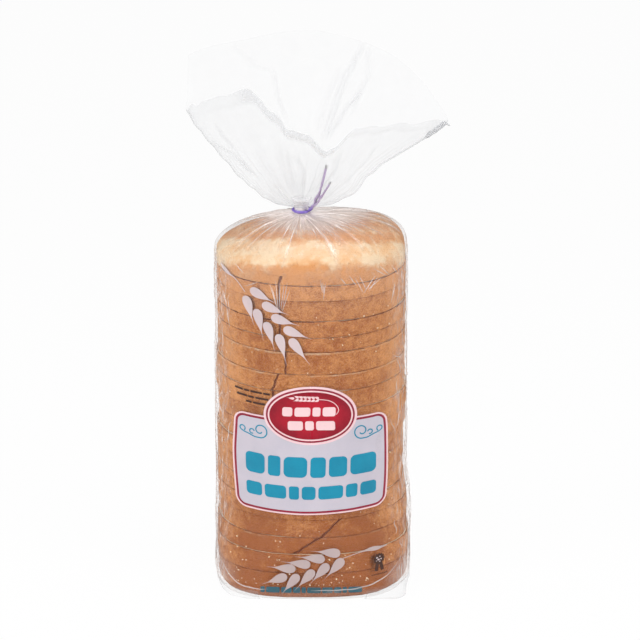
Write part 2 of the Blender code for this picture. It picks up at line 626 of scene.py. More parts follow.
def add_piece(
    name: str,
    builder: Builder,
    materials: Sequence[Material],
    slot: str,
    node: str,
    sharp: float = 60.0,
) -> Piece:
    """Turn a bmesh into a shaded piece that rides on the object.

    Args:
        name: The piece's name.
        builder: Its mesh, which is freed.
        materials: Its materials, in the order of its faces' indices.
        slot: The record's material slot; not used.
        node: The CAD node that it helps to replace.
        sharp: The angle above which an edge stays sharp, in degrees.

    Returns:
        The piece.
    """
    bmesh.ops.recalc_face_normals(builder, faces=builder.faces)
    mesh = bpy.data.meshes.new(name)
    builder.to_mesh(mesh)
    builder.free()
    for material in materials:
        mesh.materials.append(material)
    mesh.shade_smooth()
    mesh.set_sharp_from_angle(angle=math.radians(sharp))
    piece = bpy.data.objects.new(name, mesh)
    bpy.context.scene.collection.objects.link(piece)
    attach(piece, BODY)
    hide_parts(node)
    LOG.info("%s: %d faces", name, len(mesh.polygons))
    return piece


def weld(builder: Builder, distance: float = 1e-6) -> None:
    """Close seams and poles."""
    bmesh.ops.remove_doubles(builder, verts=builder.verts, dist=distance)


# ---------------- the bag's shape


def slab(node: str, low: float, high: float) -> tuple[Vector, Vector]:
    """The box of the part of a CAD node between two heights.

    Args:
        node: The CAD node.
        low: The lower height.
        high: The upper height.

    Returns:
        The lowest and highest corners.
    """
    found = [v.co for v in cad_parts[node].data.vertices if low <= v.co.z <= high]
    lowest = Vector(min(point[axis] for point in found) for axis in range(3))
    highest = Vector(max(point[axis] for point in found) for axis in range(3))
    return lowest, highest


@dataclass(frozen=True)
class BagShape:
    """The outer form of the bag, as the CAD solid has it."""

    half_width: float
    front: float
    rear: float
    neck_x: float
    neck_radius: float
    widest_y: float = 0.020
    body_top: float = 0.236
    neck_bottom: float = 0.2655
    neck_top: float = 0.2700
    neck_draw: float = 0.72
    dome_power: float = 2.15
    corner_power: float = 3.4
    corner_fade: float = 0.060
    foot_inset: float = 0.0060
    foot_height: float = 0.0075
    bulge: float = 0.0028
    shoulder_power: float = 1.95
    shoulder_lean: float = 0.4

    @classmethod
    def from_frame(cls) -> "BagShape":
        """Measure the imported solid."""
        low, high = slab(BAG, 0.9 * cls.body_top, cls.body_top + MM)
        neck_low, neck_high = slab(BAG, cls.neck_top - 0.05 * MM, cls.neck_top + 0.05 * MM)
        return cls(
            half_width=high.x,
            front=low.y,
            rear=high.y,
            neck_x=0.5 * (neck_low.x + neck_high.x),
            neck_radius=cls.neck_draw * 0.5 * (neck_high.x - neck_low.x),
        )

    def outline(self, angle: float, inset: float, power: float) -> Vector:
        """A point of the bag's outline: a domed front, a flatter rear, rounded corners.

        Args:
            angle: The angle from +X, counter-clockwise from above.
            inset: How far inside the outline the point lies.
            power: How square the front is.

        Returns:
            The point, at height 0.
        """
        behind = math.sin(angle) > 0.0
        depth = self.rear - self.widest_y if behind else self.widest_y - self.front
        across = 2.0 / power
        deep = 2.0 / (self.corner_power if behind else power)
        return Vector((
            (self.half_width - inset) * signed_power(math.cos(angle), across),
            self.widest_y + (depth - inset) * signed_power(math.sin(angle), deep),
            0.0,
        ))

    def power_at(self, height: float) -> float:
        """How square the front is at a height: more so at the foot, where the film has corners."""
        corner = 1.0 - smooth(self.foot_height, self.corner_fade, height)
        return blend(self.dome_power, self.corner_power, corner)

    def foot_inset_at(self, height: float) -> float:
        """How far the rounded foot draws in.

        Args:
            height: The height on the body.

        Returns:
            The distance, inwards.
        """
        if height >= self.foot_height:
            return 0.0
        turn = math.acos(1.0 - max(0.0, height) / self.foot_height)
        return self.foot_inset * (1.0 - math.sin(turn))

    def foot_bulge(self, angle: float, height: float) -> float:
        """How far the bag bulges at the right of its foot."""
        there = smooth(0.70, 0.98, math.cos(angle))
        return self.bulge * there * (1.0 - smooth(0.052, 0.080, height)) * smooth(0.0, 0.008, height)

    def outward(self, angle: float) -> Vector:
        """The direction out of the bag's side.

        Args:
            angle: The angle round the bag.

        Returns:
            The level unit vector.
        """
        point = self.outline(angle, 0.0, self.dome_power)
        depth = self.rear - self.widest_y if point.y > self.widest_y else self.widest_y - self.front
        power = self.dome_power - 1.0
        return Vector((
            signed_power(point.x / self.half_width, power) / self.half_width,
            signed_power((point.y - self.widest_y) / depth, power) / depth,
            0.0,
        )).normalized()

    def side(self, angle: float, height: float) -> Vector:
        """A point of the body's side or its rounded foot.

        Args:
            angle: The angle round the bag.
            height: The height on the body.

        Returns:
            The point.
        """
        point = self.outline(angle, self.foot_inset_at(height), self.power_at(height))
        point.z = height
        return point

    def shoulder(self, angle: float, share: float) -> Vector:
        """A point of the shoulder.

        Args:
            angle: The angle round the bag.
            share: 0 at the body's top and 1 at the neck.

        Returns:
            The point.
        """
        turn = 0.5 * math.pi * share
        power = self.shoulder_power + self.shoulder_lean * math.cos(angle)
        neck = Vector((
            self.neck_x + self.neck_radius * math.cos(angle),
            self.neck_radius * math.sin(angle),
            0.0,
        ))
        point = neck.lerp(self.outline(angle, 0.0, self.dome_power), math.cos(turn) ** (2.0 / power))
        point.z = blend(self.body_top, self.neck_bottom, math.sin(turn) ** (2.0 / power))
        return point

    def front_angle(self, x: float, height: float) -> float:
        """The angle at which the front's outline has a given x.

        Args:
            x: The place across the front.
            height: The height on the body.

        Returns:
            The angle, between -pi and 0.
        """
        share = min(1.0, abs(x) / (self.half_width - self.foot_inset_at(height)))
        cosine = signed_power(x, 0.0) * share ** (self.power_at(height) / 2.0)
        return -math.acos(max(-1.0, min(1.0, cosine)))


# ---------------- the loaf


@dataclass(frozen=True)
class Slice:
    """One slice, or one heel, of the loaf.

    Attributes:
        number: Its place from below, from 0.
        low: The height of its lower face.
        high: The height of its upper face.
        shift: How far it has slid, across and forwards.
        turn: How far it is turned about the upright, in radians.
        grow: How much wider it is than the loaf's mean.
        crack: Where the split in its crown lies at its lower and upper face, if it has one.
        bake: How brown it is: partly its crust's colour and partly painted shade, darker towards the
            bottom of the loaf.
        rim_light: How strong the highlight painted on its upper edge is.
        end: 1 for the upper heel, -1 for the lower one, 0 for a slice.
    """

    number: int
    low: float
    high: float
    shift: Vector
    turn: float
    grow: float
    crack: Pair | None
    bake: float
    rim_light: float
    end: int

    @property
    def name(self) -> str:
        """The name of its piece."""
        return {1: "upper_heel", -1: "lower_heel"}.get(self.end, f"slice_{self.number:02d}")


@dataclass
class Loaf:
    """The sliced loaf, heel to heel."""

    shape: BagShape
    wardrobe: Wardrobe
    bottom: float = 0.0006
    top: float = 0.2430
    thicknesses: tuple[float, ...] = (
        20.0, 13.5, 12.1, 13.1, 13.3, 13.2, 13.3, 13.3, 13.2,
        13.3, 13.3, 12.4, 16.0, 10.1, 11.6, 14.6, 10.9, 14.8,
    )
    # A split slice's number, and the split's x at its lower and its upper face, in millimetres.
    cracks: tuple[tuple[int, float, float], ...] = (
        (2, -12.0, 5.5), (3, 6.5, 20.0), (10, -27.5, -25.5), (11, -26.5, -22.0), (12, -17.4, -17.4),
        (13, -20.5, -19.5), (14, -21.5, -21.0), (15, -21.5, -21.5), (16, -21.5, -21.8),
        (17, -22.0, -20.5),
    )
    # The number of the slice below a dark gap, and how dark the shade painted in that gap is.
    seams: tuple[tuple[int, float], ...] = ((11, 0.5), (12, 0.7), (14, 1.5), (15, 0.8), (16, 1.5))
    # How dark the painted shade is in the other gaps.
    plain_seam_shade: float = 0.45
    # How brown the crust is up the loaf: partly the crust's own colour and partly painted shade, darker
    # towards the bottom.
    browning_and_shade: Table = (
        (0.0, 1.15), (0.12, 0.95), (0.28, 0.70), (0.7, 0.48), (0.88, 0.30), (0.96, -0.05), (1.0, -0.2),
    )
    # Slices whose upper edge gets the strongest painted highlight.
    light_rims: tuple[int, ...] = (11, 12)
    gap: float = 0.00005
    edge: float = 0.0007
    heel_edge: float = 0.0030
    left_gap: float = 0.0019
    right_gap: float = 0.0012
    front_gap: float = 0.0007
    crown_gap: float = 0.0012
    crown_level: float = 0.2560
    crown_limit: float = 0.2615
    break_slope: float = 0.306
    break_band: Pair = (0.2275, 0.2455)
    face_end: float = 0.20
    edge_end: float = 0.36
    around: int = 240

    def slices(self) -> Iterator[Slice]:
        """The slices from the lower heel to the upper one."""
        dice = random.Random(11)
        scale = (self.top - self.bottom) / sum(self.thicknesses)
        low = self.bottom
        last = len(self.thicknesses) - 1
        cracks = {number: (lower * MM, upper * MM) for number, lower, upper in self.cracks}
        for number, thickness in enumerate(self.thicknesses):
            high = low + thickness * scale
            middle = 0.5 * (low + high) / self.top
            hollow = math.exp(-(((middle - 0.34) / 0.12) ** 2))
            shift = Vector((
                dice.uniform(-0.5, 0.5) * MM - 1.0 * MM * hollow,
                dice.uniform(-0.2, 0.9) * MM,
                0.0,
            ))
            yield Slice(
                number=number,
                low=low + self.gap,
                high=self.shape.body_top - self.crown_gap if number == last else high,
                shift=shift,
                turn=math.radians(dice.uniform(-1.1, 1.1)),
                grow=dice.uniform(-0.7, 0.2) * MM - 0.8 * MM * hollow,
                crack=cracks.get(number),
                bake=along_table(self.browning_and_shade, middle) + dice.uniform(-0.12, 0.12),
                rim_light=0.42 if number in self.light_rims else dice.uniform(0.0, 0.22),
                end=int(number == last) - int(number == 0),
            )
            low = high

    def rim(self, item: Slice, angle: float, inset: float, height: float) -> Vector:
        """A point of a slice's outline.

        Args:
            item: The slice.
            angle: The angle from +X, counter-clockwise from above.
            inset: How far inside its crust the point lies.
            height: Its height, as the bag's foot draws in.

        Returns:
            The point, at height 0.
        """
        front = max(0.0, -math.sin(angle))
        side_gap = blend(self.left_gap, self.right_gap, smooth(-0.3, 0.3, math.cos(angle)))
        gap = blend(side_gap, self.front_gap, front ** 0.5)
        lumps = 0.55 * MM * ripple(2.1 * math.cos(angle), 2.1 * math.sin(angle) + item.number, 3.0)
        lumps += 0.22 * MM * ripple(9.0 * math.cos(angle), 9.0 * math.sin(angle), 0.35 * item.number)
        gap += self.shape.foot_inset_at(height) - 0.8 * self.shape.foot_bulge(angle, height)
        power = blend(self.shape.dome_power, self.shape.power_at(height), 0.6)
        point = self.shape.outline(angle, gap - item.grow - lumps + inset, power)
        return Matrix.Rotation(item.turn, 3, "Z") @ point + item.shift

    def profile(self, item: Slice, share: float) -> Triple:
        """The section of a slice, from the middle of its lower face to the middle of its upper one.

        Args:
            item: The slice.
            share: The place along the section.

        Returns:
            How far the point lies towards the middle, its inset from the rim, and its height.
        """
        up = share > 0.5
        turned = 1.0 - share if up else share
        rounded = item.end == -1 and not up
        radius = self.heel_edge if rounded else self.edge
        face = item.high if up else item.low
        sense = -1.0 if up else 1.0
        radius_up = min(radius, 0.8 * (item.high - item.low))
        if turned < self.face_end:
            return 1.0 - turned / self.face_end, radius, face
        if turned < self.edge_end:
            turn = 0.5 * math.pi * (turned - self.face_end) / (self.edge_end - self.face_end)
            inset = radius * (1.0 - math.sin(turn))
            return 0.0, inset, face + sense * radius_up * (1.0 - math.cos(turn))
        other = item.low if up else item.high
        other_edge = self.heel_edge if item.end == -1 and up else self.edge
        far = other - sense * min(other_edge, 0.8 * (item.high - item.low))
        near = face + sense * radius_up
        middle = 0.5 * (near + far)
        return 0.0, 0.0, blend(near, middle, (turned - self.edge_end) / (0.5 - self.edge_end))

    def crown(self, item: Slice, angle: float, share: float) -> Triple:
        """The section of the upper heel's domed end, which fills the bag's shoulder.

        Args:
            item: The heel.
            angle: The angle from +X.
            share: 0 half-way up its side and 1 in its middle.

        Returns:
            How far the point lies towards the middle, its inset from the rim, and its height.
        """
        start = self.shape.body_top - self.crown_gap
        straight = 0.2
        if share < straight:
            return 0.0, 0.0, blend(0.5 * (item.low + item.high), start, share / straight)
        turn = 0.5 * math.pi * (share - straight) / (1.0 - straight)
        power = 2.0 / (self.shape.shoulder_power + self.shape.shoulder_lean * math.cos(angle))
        height = start + (self.shape.neck_bottom - self.shape.body_top) * math.sin(turn) ** power
        over = max(0.0, height - self.crown_level)
        limit = self.crown_limit - self.crown_level
        height = min(height, self.crown_level) + limit * (1.0 - math.exp(-over / limit))
        return 1.0 - max(0.0, math.cos(turn)) ** power, 0.0, height

    def break_light(self, point: Vector) -> float:
        """How light the upper heel is: cream where the dough broke, and golden above and below that.

        Args:
            point: A point of its crust.

        Returns:
            The lightness.
        """
        slant = point.z + self.break_slope * point.y + 2.0 * MM * ripple(45.0 * point.x, 0.0, 2.0)
        low, high = self.break_band
        high -= 0.04 * point.x
        cream = smooth(low - 6.0 * MM, low + 6.0 * MM, slant)
        cream *= 1.0 - smooth(high - 5.0 * MM, high + 4.0 * MM, slant)
        glow = smooth(low - 22.0 * MM, low, slant) * (1.0 - smooth(high, high + 14.0 * MM, slant))
        return max(cream, 0.28 * glow, 0.34 * smooth(high, high + 6.0 * MM, slant))

    def spot(self, item: Slice, around: float, share: float) -> Spot:
        """A point of a slice's surface.

        Args:
            item: The slice.
            around: The share of the way round it.
            share: The place along its section.

        Returns:
            The point, with what its crust reads there.
        """
        angle = 2.0 * math.pi * around
        if item.end == 1 and share > 0.5:
            towards, inset, height = self.crown(item, angle, 2.0 * (share - 0.5))
        else:
            towards, inset, height = self.profile(item, share)
        rim = self.rim(item, angle, inset, height)
        point = rim.lerp(Vector((0.0, 0.0, 0.0)), towards)
        point.z = height
        pale = 0.0
        if item.end == 1:
            point.z += 0.8 * MM * ripple(55.0 * point.x, 55.0 * point.y, 8.0) * smooth(0.0, 0.3, towards)
            pale = self.break_light(point)
        front = max(0.0, -math.sin(angle))
        # Browner at the front and paler towards the two sides; this mark is partly crust colour and
        # partly painted light and shade.
        crown = 0.16 * smooth(0.55, 1.0, front) + 0.12 * smooth(-0.2, -0.9, -front)
        seam_shading, light = self.seam_shading(item, share)
        # The pale mark holds the cream where the dough broke and the painted highlight on slice edges;
        # the gap mark beside it holds painted shade.
        marks = {
            "bake": item.bake + crown - 0.12 - 0.28 * smooth(0.55, 0.92, abs(math.cos(angle))),
            "pale": max(pale, light),
            "seam_shading": seam_shading,
            "from_crack": self.from_crack(item, rim.x, height) if front > 0.2 and not towards else 0.05,
        }
        return Spot(point, marks)

    def seam_shading(self, item: Slice, share: float) -> Pair:
        """How much shade is painted on a slice's edge in the gap to the next one, and how much highlight
        just outside.

        Args:
            item: The slice.
            share: The place along the section.

        Returns:
            The painted shade and the painted highlight.
        """
        upper = share > 0.5
        turned = 1.0 - share if upper else share
        if item.end == (1 if upper else -1):
            return 0.0, 0.0
        joint = item.number if upper else item.number - 1
        # Painted shade in the gap to the next slice, and a milder painted shade reaching a little
        # further, mostly just below each gap.
        dark = dict(self.seams).get(joint, self.plain_seam_shade) * (1.0 - smooth(0.27, 0.34, turned))
        dark += 0.16 * (1.0 - smooth(0.34, 0.42, turned)) * (1.0 if upper else 0.5)
        # A painted highlight on the edge just outside the painted shade, mostly on the slice's upper
        # edge.
        light = smooth(0.28, 0.33, turned) * (1.0 - smooth(0.355, 0.40, turned))
        return dark, item.rim_light * light * (1.0 if upper else 0.3)

    def from_crack(self, item: Slice, x: float, height: float) -> float:
        """How far a place on the front lies from the split in the crown, which leans a little.

        Args:
            item: The slice.
            x: The place across.
            height: Its height.

        Returns:
            The distance, or a large one where the slice has no split.
        """
        if item.crack is None:
            return 50.0 * MM
        lower, upper = item.crack
        lean = (upper - lower) / (item.high - item.low)
        return (x - lower - lean * (height - item.low)) / math.hypot(1.0, lean)

    def dress(self, item: Slice, share: float) -> int:
        """The material of a place on a slice.

        Args:
            item: The slice.
            share: The place along its section.

        Returns:
            1 for crumb on a cut face, 0 for crust.
        """
        cut_below = share < self.face_end and item.end != -1
        cut_above = share > 1.0 - self.face_end and item.end != 1
        return int(cut_below or cut_above)

    def build(self) -> None:
        """Build every slice as a piece of its own."""
        for item in self.slices():
            builder = bmesh.new()
            rows = 50 if item.end else 25
            grow_sheet(builder, self.around, rows, partial(self.spot, item), partial(self.dress, item))
            weld(builder)
            add_piece(item.name, builder, [self.wardrobe.crust, self.wardrobe.crumb], "crust", BAG)


@dataclass
class Crumbs:
    """Loose crumbs that have fallen between the crust and the film."""

    shape: BagShape
    wardrobe: Wardrobe
    count: int = 150
    smallest: float = 0.00022
    largest: float = 0.00055

    def build(self) -> None:
        """Scatter the crumbs over the front, most of them low down."""
        dice = random.Random(5)
        builder = bmesh.new()
        for _ in range(self.count):
            height = 0.012 + 0.20 * dice.random() ** 2.2
            angle = self.shape.front_angle(dice.uniform(-0.058, 0.058), height)
            place = self.shape.side(angle, height) - 0.45 * MM * self.shape.outward(angle)
            size = dice.uniform(self.smallest, self.largest)
            turn = Matrix.Rotation(dice.uniform(0.0, math.pi), 4, "Y")
            squash = Matrix.Diagonal((size * dice.uniform(0.8, 1.7), size * 0.6, size, 1.0))
            matrix = Matrix.Translation(place) @ turn @ squash
            bmesh.ops.create_icosphere(builder, subdivisions=1, radius=1.0, matrix=matrix)
        add_piece("loose_crumbs", builder, [self.wardrobe.crumb], "crumb", BAG)


# ---------------- the film on the loaf


@dataclass(frozen=True)
class Ray:
    """A pleat that runs out from the neck over the shoulder.

    Attributes:
        angle: Its direction round the neck.
        end: How far out it reaches: 0 at the body's top and 1 at the neck.
        width: Half its width, as an angle.
        strength: How white it is.
        drift: How far it turns on its way.
    """

    angle: float
    end: float
    width: float
    strength: float
    drift: float


def neck_rays(count: int = 84, seed: int = 3) -> tuple[Ray, ...]:
    """Pleats round the neck, uneven in length and strength.

    Args:
        count: How many there are.
        seed: The seed of their unevenness.

    Returns:
        The pleats.
    """
    dice = random.Random(seed)
    return tuple(
        Ray(
            angle=2.0 * math.pi * (index + dice.uniform(-0.4, 0.4)) / count,
            end=dice.uniform(0.10, 0.65),
            width=dice.uniform(0.006, 0.022),
            strength=dice.uniform(0.25, 1.0),
            drift=dice.uniform(-0.16, 0.16),
        )
        for index in range(count)
    )


@dataclass
class BodyFilm:
    """The film from under the foot to the neck."""

    shape: BagShape
    wardrobe: Wardrobe
    around: int = 392
    under_rows: int = 6
    foot_rows: int = 12
    side_rows: int = 150
    shoulder_rows: int = 76
    neck_rows: int = 6
    lift: float = 0.0003
    rays: tuple[Ray, ...] = field(default_factory=neck_rays)

    def rows(self) -> int:
        """How many rows the sheet has."""
        return self.under_rows + self.foot_rows + self.side_rows + self.shoulder_rows + self.neck_rows

    def slack(self, angle: float, height: float) -> float:
        """How far the film stands off its drawn-tight form on the body.

        Args:
            angle: The angle round the bag.
            height: The height on the body.

        Returns:
            The distance, outwards.
        """
        side = smooth(0.80, 0.98, abs(math.cos(angle)))
        around = 9.0 * angle
        broad = ripple(1.3 * around, 34.0 * height, 1.0)
        fine = 1.0 - 2.0 * abs(ripple(3.0 * around + 2.5 * broad, 64.0 * height, 2.0))
        wave = side * (0.7 * MM * broad + 0.45 * MM * fine)
        calm = 0.20 * MM * ripple(0.5 * around, 26.0 * height, 4.0) * (1.0 - side)
        top = smooth(0.19, 0.236, height)
        pleat = 1.0 - 2.0 * abs(ripple(2.6 * around, 9.0 * height, 6.0))
        tight = 0.5 * MM * side * smooth(0.14, 0.236, height)
        wave += self.shape.foot_bulge(angle, height)
        return wave - 0.4 * MM * side - tight + calm + 0.32 * MM * pleat * top

    def side(self, angle: float, height: float) -> Vector:
        """A point of the film on the body or its foot."""
        return self.shape.side(angle, height) + self.slack(angle, height) * self.shape.outward(angle)

    def front(self, x: float, height: float, lift: float) -> Vector:
        """A point in front of the film, for the print.

        Args:
            x: Where it is across the front.
            height: Its height.
            lift: How far it stands off the film.

        Returns:
            The point.
        """
        angle = self.shape.front_angle(x, height)
        point = self.side(angle, height) + lift * self.shape.outward(angle)
        return Vector((x, point.y, height))

    def pleat(self, angle: float, share: float) -> Pair:
        """The gathers of the shoulder.

        Args:
            angle: The angle round the neck.
            share: 0 at the body's top and 1 at the neck.

        Returns:
            The depth of the pleat, inwards, and how creased the film is.
        """
        turn = angle + 0.05 * ripple(4.0 * share, 0.0, 1.0)
        coarse = pleated(turn, 9.0, 0.5 * share)
        fine = pleated(turn, 21.0, 3.0 + 0.5 * share)
        reach = smooth(0.2, 0.75, share)
        depth = reach * (1.3 * MM * (1.0 - coarse) * 0.5 + 0.7 * MM * (1.0 - fine) * 0.5)
        rays = 0.0
        for ray in self.rays:
            inside = smooth(ray.end - 0.12, ray.end + 0.35, share)
            if inside > 0.0:
                swing = angle - ray.angle - ray.drift * (1.0 - share)
                swing = (swing + math.pi) % (2.0 * math.pi) - math.pi
                wide = ray.width / (0.25 + 0.75 * share)
                rays += ray.strength * inside * math.exp(-((swing / wide) ** 2))
        near = 0.10 * smooth(0.15, 0.4, share) + 0.45 * smooth(0.50, 0.85, share)
        near += 0.3 * smooth(0.8, 1.0, share)
        near += 0.25 * smooth(-0.2, 0.7, math.sin(angle)) * smooth(0.05, 0.35, share)
        return depth * (1.0 - 0.6 * smooth(0.8, 1.0, share)), min(1.0, 0.32 * rays + near)

    def body_crease(self, angle: float, height: float) -> float:
        """How creased the film is on the body, mostly along its two sides.

        Args:
            angle: The angle round the bag.
            height: The height on the body.

        Returns:
            The crease.
        """
        side = smooth(0.72, 0.98, abs(math.cos(angle)))
        lean = 24.0 * angle + 1.8 * ripple(0.0, 30.0 * height, 5.0)
        fine = 1.0 - 2.0 * abs(ripple(lean, 58.0 * height, 2.0))
        corner = smooth(0.55, 0.9, abs(math.cos(angle)))
        crease = side * smooth(0.5, 1.0, fine) * 0.4
        crease += 0.30 * corner * (1.0 - smooth(0.010, 0.030, height))
        return crease + 0.08 * smooth(0.19, 0.236, height)

    def over_body(self, angle: float, row: float) -> Spot:
        """A point of the film on the shoulder or the neck.

        Args:
            angle: The angle round the bag.
            row: How many rows it lies above the body's top.

        Returns:
            The point, with how creased the film is.
        """
        share = min(1.0, row / self.shoulder_rows)
        depth, crease = self.pleat(angle, share)
        point = self.shape.shoulder(angle, share)
        out = self.shape.outward(angle) * (1.0 - share) + Vector((0.0, 0.0, share))
        point -= depth * out.normalized()
        edge = self.slack(angle, self.shape.body_top) * (1.0 - smooth(0.0, 0.25, share))
        point += edge * self.shape.outward(angle)
        row -= self.shoulder_rows
        if row > 0.0:
            point.z = blend(self.shape.neck_bottom, self.shape.neck_top, row / self.neck_rows)
        return Spot(point, {"crease": 0.08 * (1.0 - smooth(0.0, 0.2, share)) + crease})

    def spot(self, around: float, along: float) -> Spot:
        """A point of the film.

        Args:
            around: The share of the way round the bag.
            along: The share of the way from the middle of its underside to its neck.

        Returns:
            The point, with how creased the film is.
        """
        angle = 2.0 * math.pi * around
        row = along * self.rows()
        if row < self.under_rows:
            rim = self.shape.side(angle, 0.0)
            point = Vector((0.0, 0.0, 0.0)).lerp(rim, row / self.under_rows)
            point.z = self.lift
            return Spot(point, {"crease": 0.1})
        row -= self.under_rows
        if row < self.foot_rows:
            turn = 0.5 * math.pi * row / self.foot_rows
            height = self.shape.foot_height * (1.0 - math.cos(turn))
            point = self.side(angle, height)
            point.z = max(self.lift, height)
            return Spot(point, {"crease": 0.08})
        row -= self.foot_rows
        if row < self.side_rows:
            height = blend(self.shape.foot_height, self.shape.body_top, row / self.side_rows)
            return Spot(self.side(angle, height), {"crease": self.body_crease(angle, height)})
        return self.over_body(angle, row - self.side_rows)

    def build(self) -> None:
        """Build the film."""
        builder = bmesh.new()
        grow_sheet(builder, self.around, self.rows(), self.spot)
        weld(builder)
        add_piece("film_on_loaf", builder, [self.wardrobe.body_film], "clear_film", BAG)


@dataclass
class Gather:
    """The dense pleats of film inside the tie, an open trumpet that fades into the fan."""

    shape: BagShape
    wardrobe: Wardrobe
    low: float = 0.2630
    high: float = 0.2770
    pleats: float = 17.0

    def spot(self, around: float, along: float) -> Spot:
        """A point of the trumpet.

        Args:
            around: The share of the way round it.
            along: The share of the way up it.

        Returns:
            The point, with how dense the film is.
        """
        angle = 2.0 * math.pi * around
        height = blend(self.low, self.high, along)
        flare = smooth(self.shape.neck_top, self.high + 4.0 * MM, height)
        pleat = pleated(angle, self.pleats, 1.0)
        radius = self.shape.neck_radius * (0.93 + 0.75 * flare) + 0.2 * MM * pleat * (0.4 + flare)
        dense = (1.0 - smooth(0.55, 1.0, along)) * (0.85 + 0.1 * pleat)
        point = Vector((self.shape.neck_x + radius * math.cos(angle), radius * math.sin(angle), height))
        return Spot(point, {"crease": max(0.0, dense)})

    def build(self) -> None:
        """Build the gather."""
        builder = bmesh.new()
        grow_sheet(builder, 180, 40, self.spot)
        weld(builder)
        add_piece("gathered_film", builder, [self.wardrobe.gathered], "clear_film", BAG)


# ---------------- the loose film


class Leaf(Enum):
    """The two leaves of the loose film."""

    FRONT = "front"
    REAR = "rear"


@dataclass(frozen=True)
class Fold:
    """A soft fold in the loose film, drawn only as painted grey shade.

    Attributes:
        leaf: The leaf that it is on.
        path: Its points: direction from the neck in degrees above +X, and share of the film's length.
        width: Its width.
        strength: How dark its painted shade is.
    """

    leaf: Leaf
    path: Table
    width: float = 0.0016
    strength: float = 0.6

    def shading(self, way: float, reach: float) -> float:
        """How much grey shade is painted into the film at a place.

        Args:
            way: The place's direction from the neck, in degrees.
            reach: Its distance, as a share of the film's length.

        Returns:
            The painted shade: sharp on one side of the fold and soft on the other.
        """
        low, high = self.path[0][1], self.path[-1][1]
        fade = smooth(low - 0.05, low + 0.05, reach) * (1.0 - smooth(high - 0.05, high + 0.05, reach))
        if fade <= 0.0:
            return 0.0
        centre = along_table([(share, direction) for direction, share in self.path], reach)
        away = math.radians(way - centre) * reach * 0.12
        spread = self.width * (1.8 if away > 0.0 else 0.5)
        return 0.62 * self.strength * fade * math.exp(-((away / spread) ** 2))


